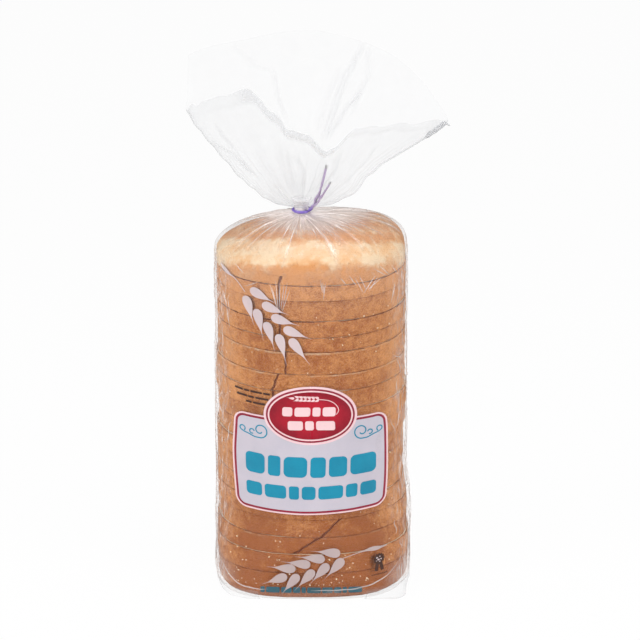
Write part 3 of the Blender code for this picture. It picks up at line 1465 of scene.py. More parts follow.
@dataclass
class FanFilm:
    """The loose film above the tie: a funnel of two leaves, the front one with a deep V in its rim."""

    shape: BagShape
    wardrobe: Wardrobe
    length: float = 0.1205
    corner_extra: float = 0.0090
    right_short: float = 0.0045
    side: float = 0.0766
    # The right and the left edge: a share of the length, and the direction in degrees above +X.
    right: Table = (
        (0.0, -4.0), (0.1, 4.0), (0.25, 14.5), (0.42, 27.6), (0.53, 30.4), (0.7, 30.6), (0.85, 30.8),
        (1.0, 32.0),
    )
    left: Table = (
        (0.0, 177.0), (0.1, 172.0), (0.2, 164.1), (0.31, 155.9), (0.42, 151.3), (0.57, 145.9),
        (0.72, 142.7), (0.86, 140.5), (1.0, 138.0),
    )
    rear_lean: float = 0.021
    front_lean: float = 0.058
    around: int = 440
    along: int = 150
    hem: float = 0.0007
    # The front leaf's rim: the share of the way from right to left, and of the length.
    front_rim: Table = (
        (0.0, 1.0), (0.04, 1.0), (0.12, 0.87), (0.2, 0.75), (0.27, 0.68), (0.31, 0.50), (0.35, 0.46),
        (0.5, 0.575), (0.58, 0.61), (0.65, 0.75), (0.73, 0.93), (0.81, 0.88), (0.885, 0.85),
        (0.96, 0.98), (1.0, 1.0),
    )
    folds: tuple[Fold, ...] = (
        Fold(Leaf.REAR, ((99.0, 0.50), (101.0, 0.62), (101.0, 0.77)), 0.0010, 0.7),
        Fold(Leaf.REAR, ((101.0, 0.77), (108.0, 0.86), (112.0, 0.97)), 0.0020, 0.3),
        Fold(Leaf.REAR, ((70.5, 0.42), (70.5, 0.70), (68.8, 0.97)), 0.0012, 0.8),
        Fold(Leaf.REAR, ((73.5, 0.42), (72.5, 0.70), (69.6, 0.96)), 0.0009, 0.6),
        Fold(Leaf.REAR, ((62.0, 0.60), (62.5, 0.80), (66.2, 0.97)), 0.0016, 0.5),
        Fold(Leaf.REAR, ((68.0, 0.43), (66.0, 0.56), (62.5, 0.73)), 0.0014, 0.8),
        Fold(Leaf.REAR, ((77.0, 0.45), (76.0, 0.60), (74.0, 0.80)), 0.0018, 0.35),
        Fold(Leaf.FRONT, ((136.5, 0.34), (135.5, 0.50), (138.3, 0.71)), 0.0013, 0.6),
        Fold(Leaf.FRONT, ((136.0, 0.32), (131.5, 0.57), (130.5, 0.69)), 0.0013, 0.6),
        Fold(Leaf.FRONT, ((102.0, 0.16), (101.0, 0.30), (100.0, 0.46)), 0.0018, 0.55),
        Fold(Leaf.FRONT, ((84.0, 0.16), (86.0, 0.28), (92.0, 0.40)), 0.0016, 0.6),
        Fold(Leaf.FRONT, ((112.0, 0.20), (107.0, 0.34), (104.0, 0.50)), 0.0026, 0.3),
        Fold(Leaf.FRONT, ((60.0, 0.14), (62.0, 0.26), (66.0, 0.36)), 0.0020, 0.5),
        Fold(Leaf.FRONT, ((50.0, 0.16), (55.0, 0.30), (60.0, 0.46)), 0.0022, 0.35),
        Fold(Leaf.FRONT, ((30.0, 0.40), (29.5, 0.60), (31.0, 0.82)), 0.0008, 0.5),
        Fold(Leaf.FRONT, ((38.0, 0.30), (41.0, 0.44), (45.0, 0.62)), 0.0010, 0.35),
        Fold(Leaf.FRONT, ((124.0, 0.14), (120.0, 0.34), (116.0, 0.60)), 0.0030, 0.25),
    )

    def reach(self, way: float) -> float:
        """The film's length from the neck, cut straight on the left.

        Args:
            way: The direction, above +X.

        Returns:
            The length.
        """
        corner = smooth(math.radians(105.0), math.radians(128.5), way)
        length = self.length + self.corner_extra * corner
        length -= self.right_short * (1.0 - smooth(math.radians(32.0), math.radians(60.0), way))
        if way > math.pi / 2.0:
            length = min(length, self.side / max(abs(math.cos(way)), 0.1))
        return length

    def rim_share(self, across: float, leaf: Leaf) -> float:
        """How much of its length the film keeps at a place across the fan."""
        return along_table(self.front_rim, across) if leaf is Leaf.FRONT else 1.0

    def waves(self, angle: float, share: float) -> float:
        """How far the film waves out of its plain form.

        Args:
            angle: The angle round the funnel.
            share: The share of the film's length.

        Returns:
            The distance, outwards.
        """
        gathers = pleated(angle, 13.0, 0.6 * share)
        broad = ripple(3.0 * math.cos(angle), 3.0 * math.sin(angle), 1.7 + share)
        near = smooth(0.0, 0.12, share) * (1.0 - smooth(0.3, 0.9, share))
        return 1.2 * MM * gathers * near + 3.0 * MM * broad * smooth(0.15, 0.9, share)

    def polar(self, angle: float, share: float) -> tuple[float, float, Leaf]:
        """Where a place on the fan lies as seen from the front.

        Args:
            angle: The angle round the funnel, from its right fold over the rear leaf.
            share: 0 at the neck and 1 at the rim.

        Returns:
            Its direction from the neck, its share of the film's full length, and its leaf.
        """
        half_turn = math.sin(angle)
        across = 0.5 * (1.0 - math.cos(angle))
        leaf = Leaf.REAR if half_turn >= 0.0 else Leaf.FRONT
        keep = blend(1.0, self.rim_share(across, leaf), smooth(0.0, 0.25, abs(half_turn)))
        reach = share * keep
        right = along_table(self.right, reach)
        left = along_table(self.left, reach)
        return math.radians(blend(right, left, across)), reach, leaf

    def point(self, angle: float, share: float) -> Vector:
        """A point of the fan.

        Args:
            angle: The angle round the funnel.
            share: 0 at the neck and 1 at the rim.

        Returns:
            The point.
        """
        half_turn = math.sin(angle)
        across = 0.5 * (1.0 - math.cos(angle))
        way, reach, leaf = self.polar(angle, share)
        length = reach * self.reach(math.radians(blend(self.right[-1][1], self.left[-1][1], across)))
        lean = self.rear_lean if leaf is Leaf.REAR else self.front_lean
        swing = lean * reach / length if length > 0.0 else 0.0
        upright = math.sqrt(max(0.0, 1.0 - (swing * half_turn) ** 2))
        gather = self.shape.neck_radius * (1.0 - 0.55 * reach)
        out = math.copysign(abs(half_turn) ** 0.5, half_turn)
        curl = self.hem * math.sin(math.pi * smooth(0.90, 1.0, share)) if leaf is Leaf.FRONT else 0.0
        return Vector((
            self.shape.neck_x + gather * math.cos(angle) + length * upright * math.cos(way),
            gather * half_turn + lean * reach * half_turn + (self.waves(angle, reach) + curl) * out,
            self.shape.neck_top + length * upright * math.sin(way),
        ))

    def spot(self, around: float, along: float) -> Spot:
        """A point of the fan's film.

        Args:
            around: The share of the way round the funnel.
            along: The share of the way to its rim, in even rows.

        Returns:
            The point, with how creased the film is.
        """
        angle = 2.0 * math.pi * around
        share = along ** 1.15
        across = 0.5 * (1.0 - math.cos(angle))
        way, reach, leaf = self.polar(angle, share)
        crease = 0.22 * (1.0 - smooth(0.02, 0.35, share)) + 0.35 * (1.0 - smooth(0.0, 0.08, share))
        # Grey shade painted along the front leaf's curled rim, strongest in the V, and beside each fold.
        if leaf is Leaf.FRONT:
            hem_shade = smooth(0.20, 0.40, across) * (1.0 - smooth(0.72, 0.80, across))
            crease += 0.08 + blend(0.15, 0.60, hem_shade) * smooth(0.86, 0.93, share)
        seen = math.degrees(way)
        crease += sum(fold.shading(seen, reach) for fold in self.folds if fold.leaf is leaf)
        return Spot(self.point(angle, share), {"crease": min(1.0, crease)})

    def build(self) -> None:
        """Build the fan's film."""
        builder = bmesh.new()
        grow_sheet(builder, self.around, self.along, self.spot)
        weld(builder)
        add_piece("film_above_tie", builder, [self.wardrobe.fan_film], "clear_film", BAG)


@dataclass
class EdgeStrip:
    """The thick folded end of the film's rim at the right, and its hook."""

    fan: FanFilm
    wardrobe: Wardrobe
    width: float = 0.0036
    start: float = 0.81
    hook: float = 0.0030
    stand_off: float = 0.0012

    def build(self) -> None:
        """Build the strip as a thin rolled band."""
        builder = bmesh.new()
        rim = self.fan.point(0.0, 1.0)
        inner = self.fan.point(0.0, self.start)
        ahead = (rim - inner).normalized()
        across = Vector((-ahead.z, 0.0, ahead.x))
        length = (rim - inner).length - 0.5 * MM

        def place(share: float, around: float) -> Spot:
            """A point of the strip's skin.

            Args:
                share: The share of the way along the strip.
                around: The share of the way round its section.

            Returns:
                The point, with how creased the film is.
            """
            turn = 2.0 * math.pi * around
            taper = smooth(-0.05, 0.25, share) * (1.0 - 0.9 * smooth(0.94, 1.0, share))
            bent = self.hook * smooth(0.82, 1.0, share) ** 2
            point = inner + ahead * (length * share) + Vector((0.5 * bent, 0.0, -bent))
            wide = 0.5 * self.width * taper * math.cos(turn)
            wide += 0.1 * self.width * ripple(5.0 * share, 0.0, 4.0)
            deep = Vector((0.0, 0.5 * MM * taper * math.sin(turn) - self.stand_off, 0.0))
            crease = 0.5 + 0.5 * ripple(9.0 * share, 0.0, 2.0)
            return Spot(point + across * wide + deep, {"crease": crease})

        grow_sheet(builder, 36, 16, place)
        weld(builder)
        add_piece("film_edge_strip", builder, [self.wardrobe.grey_crease], "clear_film", BAG)


@dataclass
class FootFlaps:
    """The spare film that lies flat on the table outside the foot's two front corners."""

    body: BodyFilm
    wardrobe: Wardrobe
    # A corner's x and y, and how square it is.
    corners: tuple[Triple, ...] = ((0.0670, -0.0520, 9.0), (-0.0625, -0.0520, 4.5))
    start: float = 0.0065
    low: float = 0.0005

    def spot(self, corner: Triple, around: float, out: float) -> Spot:
        """A point of a flap.

        Args:
            corner: The flap's outer corner, across and forwards, and how square it is.
            around: The share of the way round the corner.
            out: The share of the way from the foot to the outer edge.

        Returns:
            The point, with how creased the film is.
        """
        x, y, power = corner
        angle = math.atan2(y, x) + math.radians(58.0) * (around - 0.5)
        start = self.body.side(angle, self.start)
        square = abs(math.cos(angle) / x) ** power + abs(math.sin(angle) / y) ** power
        reach = square ** (-1.0 / power)
        end = Vector((reach * math.cos(angle), reach * math.sin(angle), self.low))
        point = start.lerp(end, out * math.sin(math.pi * around) ** 0.5)
        wave = 0.5 * MM * out * abs(ripple(70.0 * point.x, 70.0 * point.y, 1.0))
        point.z = blend(start.z, self.low, smooth(0.0, 0.8, out)) + wave
        return Spot(point, {"crease": 0.12 + 0.5 * smooth(0.88, 1.0, out)})

    def build(self) -> None:
        """Build the two flaps."""
        builder = bmesh.new()
        for corner in self.corners:
            grow_sheet(builder, 36, 12, partial(self.spot, corner))
        add_piece("foot_flaps", builder, [self.wardrobe.fan_film], "clear_film", BAG)


# ---------------- creases


def crease_strip(
    builder: Builder,
    path: Callable[[float], Vector],
    width: float,
    stations: int = 14,
) -> None:
    """Add a thin raised ridge that tapers to nothing at both ends.

    Args:
        builder: The bmesh that takes it.
        path: Its crest, for shares from 0 to 1.
        width: Its width in the middle.
        stations: How many cells it is long.
    """
    def place(share: float, across: float) -> Spot:
        """A point of the ridge.

        Args:
            share: The share of the way along it.
            across: The share of the way across it.

        Returns:
            The point, fully creased.
        """
        here = path(share)
        ahead = path(min(1.0, share + 0.02)) - path(max(0.0, share - 0.02))
        side = ahead.cross(Vector((0.0, 1.0, 0.0))).normalized()
        size = width * math.sin(math.pi * min(0.98, max(0.02, share))) ** 0.7
        crest = 0.4 * size * (1.0 - abs(2.0 * across - 1.0))
        return Spot(here + side * size * (across - 0.5) - Vector((0.0, crest, 0.0)), {"crease": 1.0})

    grow_sheet(builder, stations, 2, place)


@dataclass
class Creases:
    """The sharp creases that catch the light, down the sides, under the shoulder and round the foot:
    raised ridges of whitish half-opaque film, a painted highlight.
    """

    body: BodyFilm
    wardrobe: Wardrobe
    side_creases: int = 110
    # The x and z of both ends of a crinkle, in millimetres.
    star: tuple[Four, ...] = (
        (-28, 229, -22, 209), (-24, 232, -22, 208), (-21, 231, -21.5, 210), (-18, 230, -20.5, 211),
        (-14, 227, -20, 209), (-26.5, 227, -23, 212), (-16, 231, -19, 214), (8, 232, 9, 222),
        (10, 231, 8.5, 219), (6.5, 233, 8, 224), (-45, 224, -36, 229), (44, 232, 36, 221),
        (48, 229, 39, 223), (30, 233, 36, 221), (33, 234, 38, 223), (46, 231, 40, 222),
        (47, 238, 54, 229), (43, 237, 52, 229), (26, 235, 31, 227), (20, 234, 24, 229),
        (-52, 238, -46, 233), (58, 222, 55, 208), (-58, 205, -56, 190), (55, 236, 60, 226),
    )
    # A side, and how far from the middle the fold starts.
    folds: Table = ((-1.0, 0.030), (1.0, 0.0))
    lift: float = 0.0002

    def on_side(self, angle: float, low: float, high: float, drift: float, share: float) -> Vector:
        """A point of an upright crinkle.

        Args:
            angle: Its angle round the bag, at its foot.
            low: The height of its foot.
            high: The height of its head.
            drift: How far it turns on its way.
            share: 0 at its foot and 1 at its head.

        Returns:
            The point.
        """
        turn = angle + drift * share + 0.02 * math.sin(6.0 * share)
        stand_off = self.lift * self.body.shape.outward(turn)
        return self.body.side(turn, blend(low, high, share)) + stand_off

    def on_front(self, ends: Four, share: float) -> Vector:
        """A point of a short crinkle under the shoulder.

        Args:
            ends: Its x and z at both ends, in millimetres.
            share: The share of the way along it.

        Returns:
            The point.
        """
        from_x, from_z, to_x, to_z = ends
        x = blend(from_x, to_x, share) * MM
        return self.body.front(x, blend(from_z, to_z, share) * MM, self.lift)

    def round_foot(self, side: float, start: float, share: float) -> Vector:
        """A point of a long fold round the foot.

        Args:
            side: 1 at the right and -1 at the left.
            start: How far from the middle it starts.
            share: The share of the way outwards.

        Returns:
            The point.
        """
        x = side * blend(start, 0.0635, share)
        height = 0.0085 + 0.014 * share ** 4 + 0.6 * MM * ripple(90.0 * x, 0.0, side)
        return self.body.front(x, height, self.lift)

    def edge_creases(self, builder: Builder) -> None:
        """Upright crinkles along the two sides.

        Args:
            builder: The bmesh that takes them.
        """
        dice = random.Random(8)
        for index in range(self.side_creases):
            left = index % 2
            angle = math.pi * left + dice.uniform(-0.62, 0.42) * (-1.0 if left else 1.0)
            low = dice.uniform(0.012, 0.215)
            high = min(0.234, low + dice.uniform(0.004, 0.018))
            path = partial(self.on_side, angle, low, high, dice.uniform(-0.13, 0.13))
            crease_strip(builder, path, dice.uniform(0.3, 0.8) * MM)

    def build(self) -> None:
        """Build the creases."""
        bright = bmesh.new()
        self.edge_creases(bright)
        for ends in self.star:
            crease_strip(bright, partial(self.on_front, ends), 0.55 * MM)
        for side, start in self.folds:
            crease_strip(bright, partial(self.round_foot, side, start), 0.9 * MM, 40)
        add_piece("crease_glints", bright, [self.wardrobe.crease_glint], "clear_film", BAG, 180.0)


# ---------------- the print


def rounded_box(
    centre: Pair, half: Pair, corner: float, bow: float = 0.0
) -> Outline:
    """A rectangle with round corners, whose sides may bow out.

    Args:
        centre: Its middle.
        half: Half its width and half its height.
        corner: The corners' radius.
        bow: How far the middle of each side stands out.

    Returns:
        The outline, counter-clockwise.
    """
    points = []
    for quarter, (sign_x, sign_z) in enumerate(((1, 1), (-1, 1), (-1, -1), (1, -1))):
        for step in range(7):
            turn = math.radians(90.0 * quarter + 15.0 * step)
            x = sign_x * (half[0] - corner) + corner * math.cos(turn)
            z = sign_z * (half[1] - corner) + corner * math.sin(turn)
            points.append((x, z))
    filled = []
    for (x0, z0), (x1, z1) in zip(points, points[1:] + points[:1]):
        steps = max(1, round(math.hypot(x1 - x0, z1 - z0) / (3.0 * MM)))
        filled += [(blend(x0, x1, step / steps), blend(z0, z1, step / steps)) for step in range(steps)]
    return [
        (
            centre[0] + x + math.copysign(bow * (1.0 - (z / half[1]) ** 2), x) * (abs(x) / half[0]) ** 4,
            centre[1] + z + math.copysign(bow * (1.0 - (x / half[0]) ** 2), z) * (abs(z) / half[1]) ** 4,
        )
        for x, z in filled
    ]


def oval(centre: Pair, half: Pair, steps: int = 72) -> Outline:
    """An oval.

    Args:
        centre: Its middle.
        half: Half its width and half its height.
        steps: How many points it has.

    Returns:
        The outline, counter-clockwise.
    """
    turns = [2.0 * math.pi * step / steps for step in range(steps)]
    x, z = centre
    return [(x + half[0] * math.cos(turn), z + half[1] * math.sin(turn)) for turn in turns]


def kernel(head: Pair, tip: Pair, width: float) -> Outline:
    """A grain of wheat: a round head that narrows to a long thin tip.

    Args:
        head: The middle of its head.
        tip: The end of its tip.
        width: Its head's width.

    Returns:
        The outline.
    """
    length = math.hypot(tip[0] - head[0], tip[1] - head[1])
    ahead = ((tip[0] - head[0]) / length, (tip[1] - head[1]) / length)
    back = 0.62 * width
    left, right = [], []
    for step in range(1, 25):
        along = blend(-back, length, (step / 24.5) ** 1.3)
        if along < 0.0:
            half = 0.5 * width * math.sqrt(1.0 - (along / back) ** 2)
        else:
            tail = 0.09 * width * (1.0 - along / length) * smooth(0.0, 0.5 * length, along)
            half = 0.5 * width * (1.0 - smooth(0.0, 0.70 * length, along)) + tail
        x, z = head[0] + along * ahead[0], head[1] + along * ahead[1]
        left.append((x - half * ahead[1], z + half * ahead[0]))
        right.append((x + half * ahead[1], z - half * ahead[0]))
    return [(head[0] - back * ahead[0], head[1] - back * ahead[1]), *right, tip, *left[::-1]]


def stroke(path: Sequence[Pair], widths: Sequence[float]) -> list[Outline]:
    """A line of changing width, as a row of four-sided steps.

    Args:
        path: Its middle.
        widths: Its width at each point.

    Returns:
        The steps' outlines.
    """
    rungs = []
    for index, (x, z) in enumerate(path):
        after = path[min(index + 1, len(path) - 1)]
        before = path[max(index - 1, 0)]
        length = math.hypot(after[0] - before[0], after[1] - before[1]) or 1.0
        across = (-(after[1] - before[1]) / length, (after[0] - before[0]) / length)
        half = 0.5 * widths[index]
        left = (x + across[0] * half, z + across[1] * half)
        right = (x - across[0] * half, z - across[1] * half)
        rungs.append((left, right))
    return [[first[1], second[1], second[0], first[0]] for first, second in zip(rungs, rungs[1:])]


def eased(points: Sequence[Pair], steps: int = 8) -> list[Pair]:
    """A smooth line through points.

    Args:
        points: The points.
        steps: How many steps there are from one to the next.

    Returns:
        The line's points.
    """
    ends = [points[0], *points, points[-1]]
    line = []
    for a, b, c, d in zip(ends, ends[1:], ends[2:], ends[3:]):
        for step in range(steps):
            t = step / steps
            line.append(tuple(
                0.5 * (2 * b[i] + (c[i] - a[i]) * t + (2 * a[i] - 5 * b[i] + 4 * c[i] - d[i]) * t * t
                       + (3 * b[i] - a[i] - 3 * c[i] + d[i]) * t ** 3)
                for i in range(2)
            ))
    return [*line, points[-1]]


@dataclass(frozen=True)
class WheatEar:
    """A printed ear of wheat, in millimetres.

    Attributes:
        grains: For each grain, the middle of its head and the end of its tip.
        stem: The stem's points, from its cut end to the ear.
        width: A grain's width.
        leaf: Where the stem is widest, as a share of its length.
    """

    grains: tuple[Four, ...]
    stem: Table
    width: float
    leaf: float

    def outlines(self) -> list[Outline]:
        """The outlines of the grains and of the stem."""
        made = [
            kernel((x * MM, z * MM), (tip_x * MM, tip_z * MM), self.width * MM)
            for x, z, tip_x, tip_z in self.grains
        ]
        line = [(x * MM, z * MM) for x, z in eased(self.stem)]
        shares = [index / (len(line) - 1) for index in range(len(line))]
        widths = [MM * (0.5 + 2.4 * math.exp(-(((share - self.leaf) / 0.2) ** 2))) for share in shares]
        return made + stroke(line, widths)


def cut_in_strips(builder: Builder, axis: int, spacing: float) -> None:
    """Cut flat shapes along even lines, so that they can bend with the film.

    Args:
        builder: The bmesh that holds them.
        axis: The axis that the cuts cross.
        spacing: The distance between two cuts.
    """
    normal = Vector((0.0, 0.0, 0.0))
    normal[axis] = 1.0
    places = [vertex.co[axis] for vertex in builder.verts]
    for step in range(math.ceil(min(places) / spacing), math.floor(max(places) / spacing) + 1):
        geometry = builder.verts[:] + builder.edges[:] + builder.faces[:]
        cut = normal * step * spacing
        bmesh.ops.bisect_plane(builder, geom=geometry, plane_co=cut, plane_no=normal)


def face_forward(piece: Piece) -> None:
    """Turn an open sheet's faces to the front.

    Args:
        piece: The sheet.
    """
    total = sum((face.normal * face.area for face in piece.data.polygons), Vector())
    if total.y > 0.0:
        piece.data.flip_normals()


@dataclass
class Print:
    """The print on the bag's front, laid on the film."""

    film: BodyFilm
    wardrobe: Wardrobe
    panel_centre: Pair = (-0.0003, 0.0990)
    panel_half: Pair = (0.0526, 0.0344)
    badge_centre: Pair = (0.0000, 0.1360)
    badge_half: Pair = (0.0324, 0.0213)
    first_lift: float = 0.00012
    level_lift: float = 0.00009
    ears: tuple[WheatEar, ...] = (
        WheatEar(
            grains=(
                (-37.4, 221.2, -22.3, 215.1), (-29.2, 212.6, -13.6, 207.8), (-23.0, 204.8, -6.3, 200.4),
                (-15.0, 196.8, 1.5, 190.8), (-12.1, 188.0, 0.1, 172.3), (-43.5, 213.1, -38.6, 196.0),
                (-36.3, 205.6, -32.9, 186.6), (-29.6, 197.6, -25.0, 179.6),
                (-21.7, 189.9, -16.7, 171.1),
            ),
            stem=((-62.0, 232.6), (-56.9, 229.0), (-51.1, 226.5), (-44.7, 219.6)),
            width=6.7,
            leaf=0.25,
        ),
        WheatEar(
            grains=(
                (16.8, 35.9, -1.2, 37.8), (5.8, 31.9, -12.5, 33.8), (-4.5, 28.0, -22.4, 29.9),
                (-15.1, 24.6, -32.5, 25.6), (-20.8, 17.6, -35.4, 12.1), (20.1, 28.6, 7.8, 15.3),
                (9.5, 25.0, -2.2, 11.9), (-0.8, 20.5, -12.1, 7.5), (-11.5, 17.0, -21.8, 3.7),
            ),
            stem=((53.3, 35.9), (47.3, 35.9), (40.7, 36.2), (32.7, 35.0), (22.6, 32.0)),
            width=6.7,
            leaf=0.36,
        ),
    )

    def lay(self, name: str, ink: Ink, level: int, outlines: Sequence[Outline]) -> None:
        """Lay flat shapes of one ink on the film.

        Args:
            name: The piece's name.
            ink: Its ink.
            level: Its place in the stack of inks.
            outlines: The shapes.
        """
        builder = bmesh.new()
        for outline in outlines:
            builder.faces.new([builder.verts.new((x, 0.0, z)) for x, z in outline])
        weld(builder, 1e-8)
        bmesh.ops.triangulate(builder, faces=builder.faces)
        cut_in_strips(builder, 0, 2.0 * MM)
        cut_in_strips(builder, 2, 4.0 * MM)
        lift = self.first_lift + self.level_lift * level
        rim = builder.verts.layers.float.new("rim")
        for vertex in builder.verts:
            x, _, z = vertex.co
            across = (x - self.badge_centre[0]) / self.badge_half[0]
            up = (z - self.badge_centre[1]) / self.badge_half[1]
            vertex[rim] = smooth(0.35, 0.85, math.hypot(across, up))
            x += 0.7 * MM * ripple(12.0 * x, 34.0 * z, 21.0)
            z += 0.6 * MM * ripple(30.0 * x, 20.0 * z, 22.0)
            vertex.co = self.film.front(x, z, lift)
        face_forward(add_piece(name, builder, [self.wardrobe.inks[ink]], ink.value.slot, BAG, 180.0))

    def build_panel(self) -> None:
        """The pale panel with its red line."""
        def frame_at(inset: float) -> Outline:
            """The panel's outline, drawn in."""
            half = (self.panel_half[0] - inset, self.panel_half[1] - inset)
            return rounded_box(self.panel_centre, half, 7.0 * MM - inset, 0.9 * MM)

        self.lay("panel_edge", Ink.WHITE, 0, [frame_at(0.0)])
        self.lay("panel_line", Ink.DEEP_RED, 1, [frame_at(1.1 * MM)])
        self.lay("panel_field", Ink.LILAC, 2, [frame_at(2.6 * MM)])

    def build_badge(self) -> None:
        """The red oval with its rings."""
        def ring(inset: float) -> Outline:
            """One of the badge's ovals."""
            return oval(self.badge_centre, (self.badge_half[0] - inset, self.badge_half[1] - inset))

        self.lay("badge_edge", Ink.WHITE, 3, [ring(0.0)])
        self.lay("badge_line", Ink.DEEP_RED, 4, [ring(1.6 * MM)])
        self.lay("badge_ring", Ink.PINK, 5, [ring(2.9 * MM)])
        self.lay("badge_field", Ink.RED, 6, [ring(4.0 * MM)])
        grains = []
        for index in range(6):
            x, z = 4.6 - 2.8 * index, 148.0 + 0.1 * index
            for side in (-1.0, 1.0):
                grains.append((x, z + 0.95 * side, x - 3.4, z + 2.3 * side))
        grains.append((-12.6, 148.6, -17.4, 148.9))
        stem = ((5.0, 147.9), (12.5, 146.8), (17.5, 143.7), (19.6, 139.8), (18.0, 136.6))
        line = [(x * MM, z * MM) for x, z in eased(stem)]
        shapes = [kernel((x * MM, z * MM), (a * MM, b * MM), 1.7 * MM) for x, z, a, b in grains]
        self.lay("badge_sprig", Ink.PINK, 7, shapes + stroke(line, [0.5 * MM] * len(line)))

    @staticmethod
    def blocks(
        centre: Pair, widths: Sequence[float], height: float, gap: float
    ) -> list[Outline]:
        """A row of plain rounded blocks, where a pack carries its wording.

        Args:
            centre: The row's middle.
            widths: The blocks' widths in millimetres.
            height: Their height.
            gap: The space between two of them.

        Returns:
            Their outlines.
        """
        x = centre[0] - 0.5 * (sum(widths) * MM + gap * (len(widths) - 1))
        made = []
        for width in widths:
            half = (0.5 * width * MM, 0.5 * height)
            made.append(rounded_box((x + half[0], centre[1]), half, 0.5 * min(half)))
            x += width * MM + gap
        return made

    @staticmethod
    def scroll(centre: Pair, sign: float) -> list[Outline]:
        """A curled flourish with two small loops on its tail.

        Args:
            centre: The middle of its large curl.
            sign: 1 where its tail runs to the left, -1 where it runs to the right.

        Returns:
            The outlines of its strokes.
        """
        curl = []
        for step in range(41):
            turn = math.radians(320.0 - 10.5 * step)
            radius = blend(1.3, 5.4, (step / 40) ** 0.8)
            curl.append((radius * math.cos(turn), radius * math.sin(turn)))
        tail = eased([(-0.9, -5.3), (-4.0, -5.2), (-8.0, -3.9), (-11.5, -3.2), (-13.6, -2.2)])
        lines = [curl, tail]
        for x, z, radius, turned in ((-12.4, -0.9, 1.8, 230.0), (-5.8, -1.6, 1.6, 300.0)):
            turns = [math.radians(turned - 17.0 * step) for step in range(18)]
            lines.append([(x + radius * math.cos(turn), z + radius * math.sin(turn)) for turn in turns])
        made = []
        for line in lines:
            placed = [(centre[0] + sign * MM * x, centre[1] + MM * z) for x, z in line]
            made += stroke(placed, [0.85 * MM] * len(placed))
        return made

    def build_wording(self) -> None:
        """The rows of plain blocks and the two flourishes."""
        upper = (13.0, 8.5, 16.0, 10.5, 12.5, 18.0)
        self.lay("upper_blocks", Ink.TEAL, 3, self.blocks((0.0, 0.0985), upper, 0.0148, 2.2 * MM))
        lower = (11.0, 15.0, 7.0, 9.5, 17.0, 8.0, 11.0)
        self.lay("lower_blocks", Ink.TEAL, 3, self.blocks((0.0, 0.0797), lower, 0.0096, 1.9 * MM))
        scrolls = self.scroll((-0.0347, 0.1228), 1.0) + self.scroll((0.0347, 0.1228), -1.0)
        self.lay("flourishes", Ink.TEAL, 3, scrolls)
        white = self.blocks((-0.0010, 0.1387), (7.0, 11.0, 5.5, 9.0), 0.0066, 1.5 * MM)
        white += self.blocks((0.0008, 0.1287), (10.5, 6.0, 13.0), 0.0066, 1.5 * MM)
        self.lay("badge_blocks", Ink.PINK, 7, white)
        small = []
        for x, z, widths in (
            (-40.6, 149.6, (5.5, 3.5, 8.0, 4.5)),
            (-40.4, 145.7, (7.0, 4.0, 9.0)),
            (-38.2, 142.0, (4.0, 8.5)),
        ):
            small += self.blocks((x * MM, z * MM), widths, 0.0014, 0.9 * MM)
        self.lay("small_blocks", Ink.DARK, 3, small)
        widths = tuple(3.0 + 2.2 * (index * 7 % 4) for index in range(10))
        base = self.blocks((0.0002, 0.0086), widths, 0.0044, 0.9 * MM)
        self.lay("base_blocks", Ink.TEAL_SHADE, 1, base)

    def build_seal(self) -> None:
        """A plain scalloped seal with two tails and a bar below."""
        x, z = 0.0479, 0.0283
        rim = []
        for step in range(72):
            turn = 2.0 * math.pi * step / 72
            radius = MM * (3.6 + 0.35 * math.cos(12.0 * turn))
            rim.append((x + radius * math.cos(turn), z + radius * math.sin(turn)))
        shapes = [rim]
        for sign in (-1.0, 1.0):
            ends = ((x + sign * 1.2 * MM, z - 3.0 * MM), (x + sign * 2.2 * MM, z - 8.2 * MM))
            shapes += stroke(ends, (2.2 * MM, 2.4 * MM))
        shapes += self.blocks((x, z - 10.6 * MM), [1.0] * 8, 0.0008, 0.4 * MM)
        self.lay("seal", Ink.DARK, 1, shapes)
        specks = (
            (-1.4, 0.9, 0.7), (0.6, 1.5, 0.5), (1.4, -0.3, 0.6),
            (-0.4, -0.5, 0.8), (-1.8, -1.2, 0.4), (0.5, -1.9, 0.5),
        )
        pale = [oval((x + a * MM, z + b * MM), (size * MM, 0.7 * size * MM), 12) for a, b, size in specks]
        self.lay("seal_specks", Ink.KERNEL, 2, pale)

    def build(self) -> None:
        """Lay the whole print."""
        self.build_panel()
        self.build_badge()
        self.build_wording()
        self.build_seal()
        self.lay("upper_ear", Ink.KERNEL, 2, self.ears[0].outlines())
        # The lower ear is printed in the kernel ink darkened as painted shade.
        self.lay("lower_ear", Ink.KERNEL_IN_SHADE, 2, self.ears[1].outlines())


# ---------------- the tie


def unturned(_share: float) -> float:
    """The band isn't turned about its path."""
    return 0.0


def strand_spin(side: float, share: float) -> float:
    """How far a strand is turned about its path: on through the twist, and back in its tail."""
    return 6.0 * share * (1.0 - smooth(0.4, 0.7, share)) + 0.9 * side


def fresh_coat(_share: float) -> dict[str, float]:
    """The band's coat is as new."""
    return {"rub": 0.0, "tip": 0.0}


def rubbed_coat(share: float) -> dict[str, float]:
    """A strand's coat: rubbed grey from the twist on, and bare at its end."""
    return {"rub": smooth(0.05, 0.35, share), "tip": smooth(0.93, 0.96, share)}


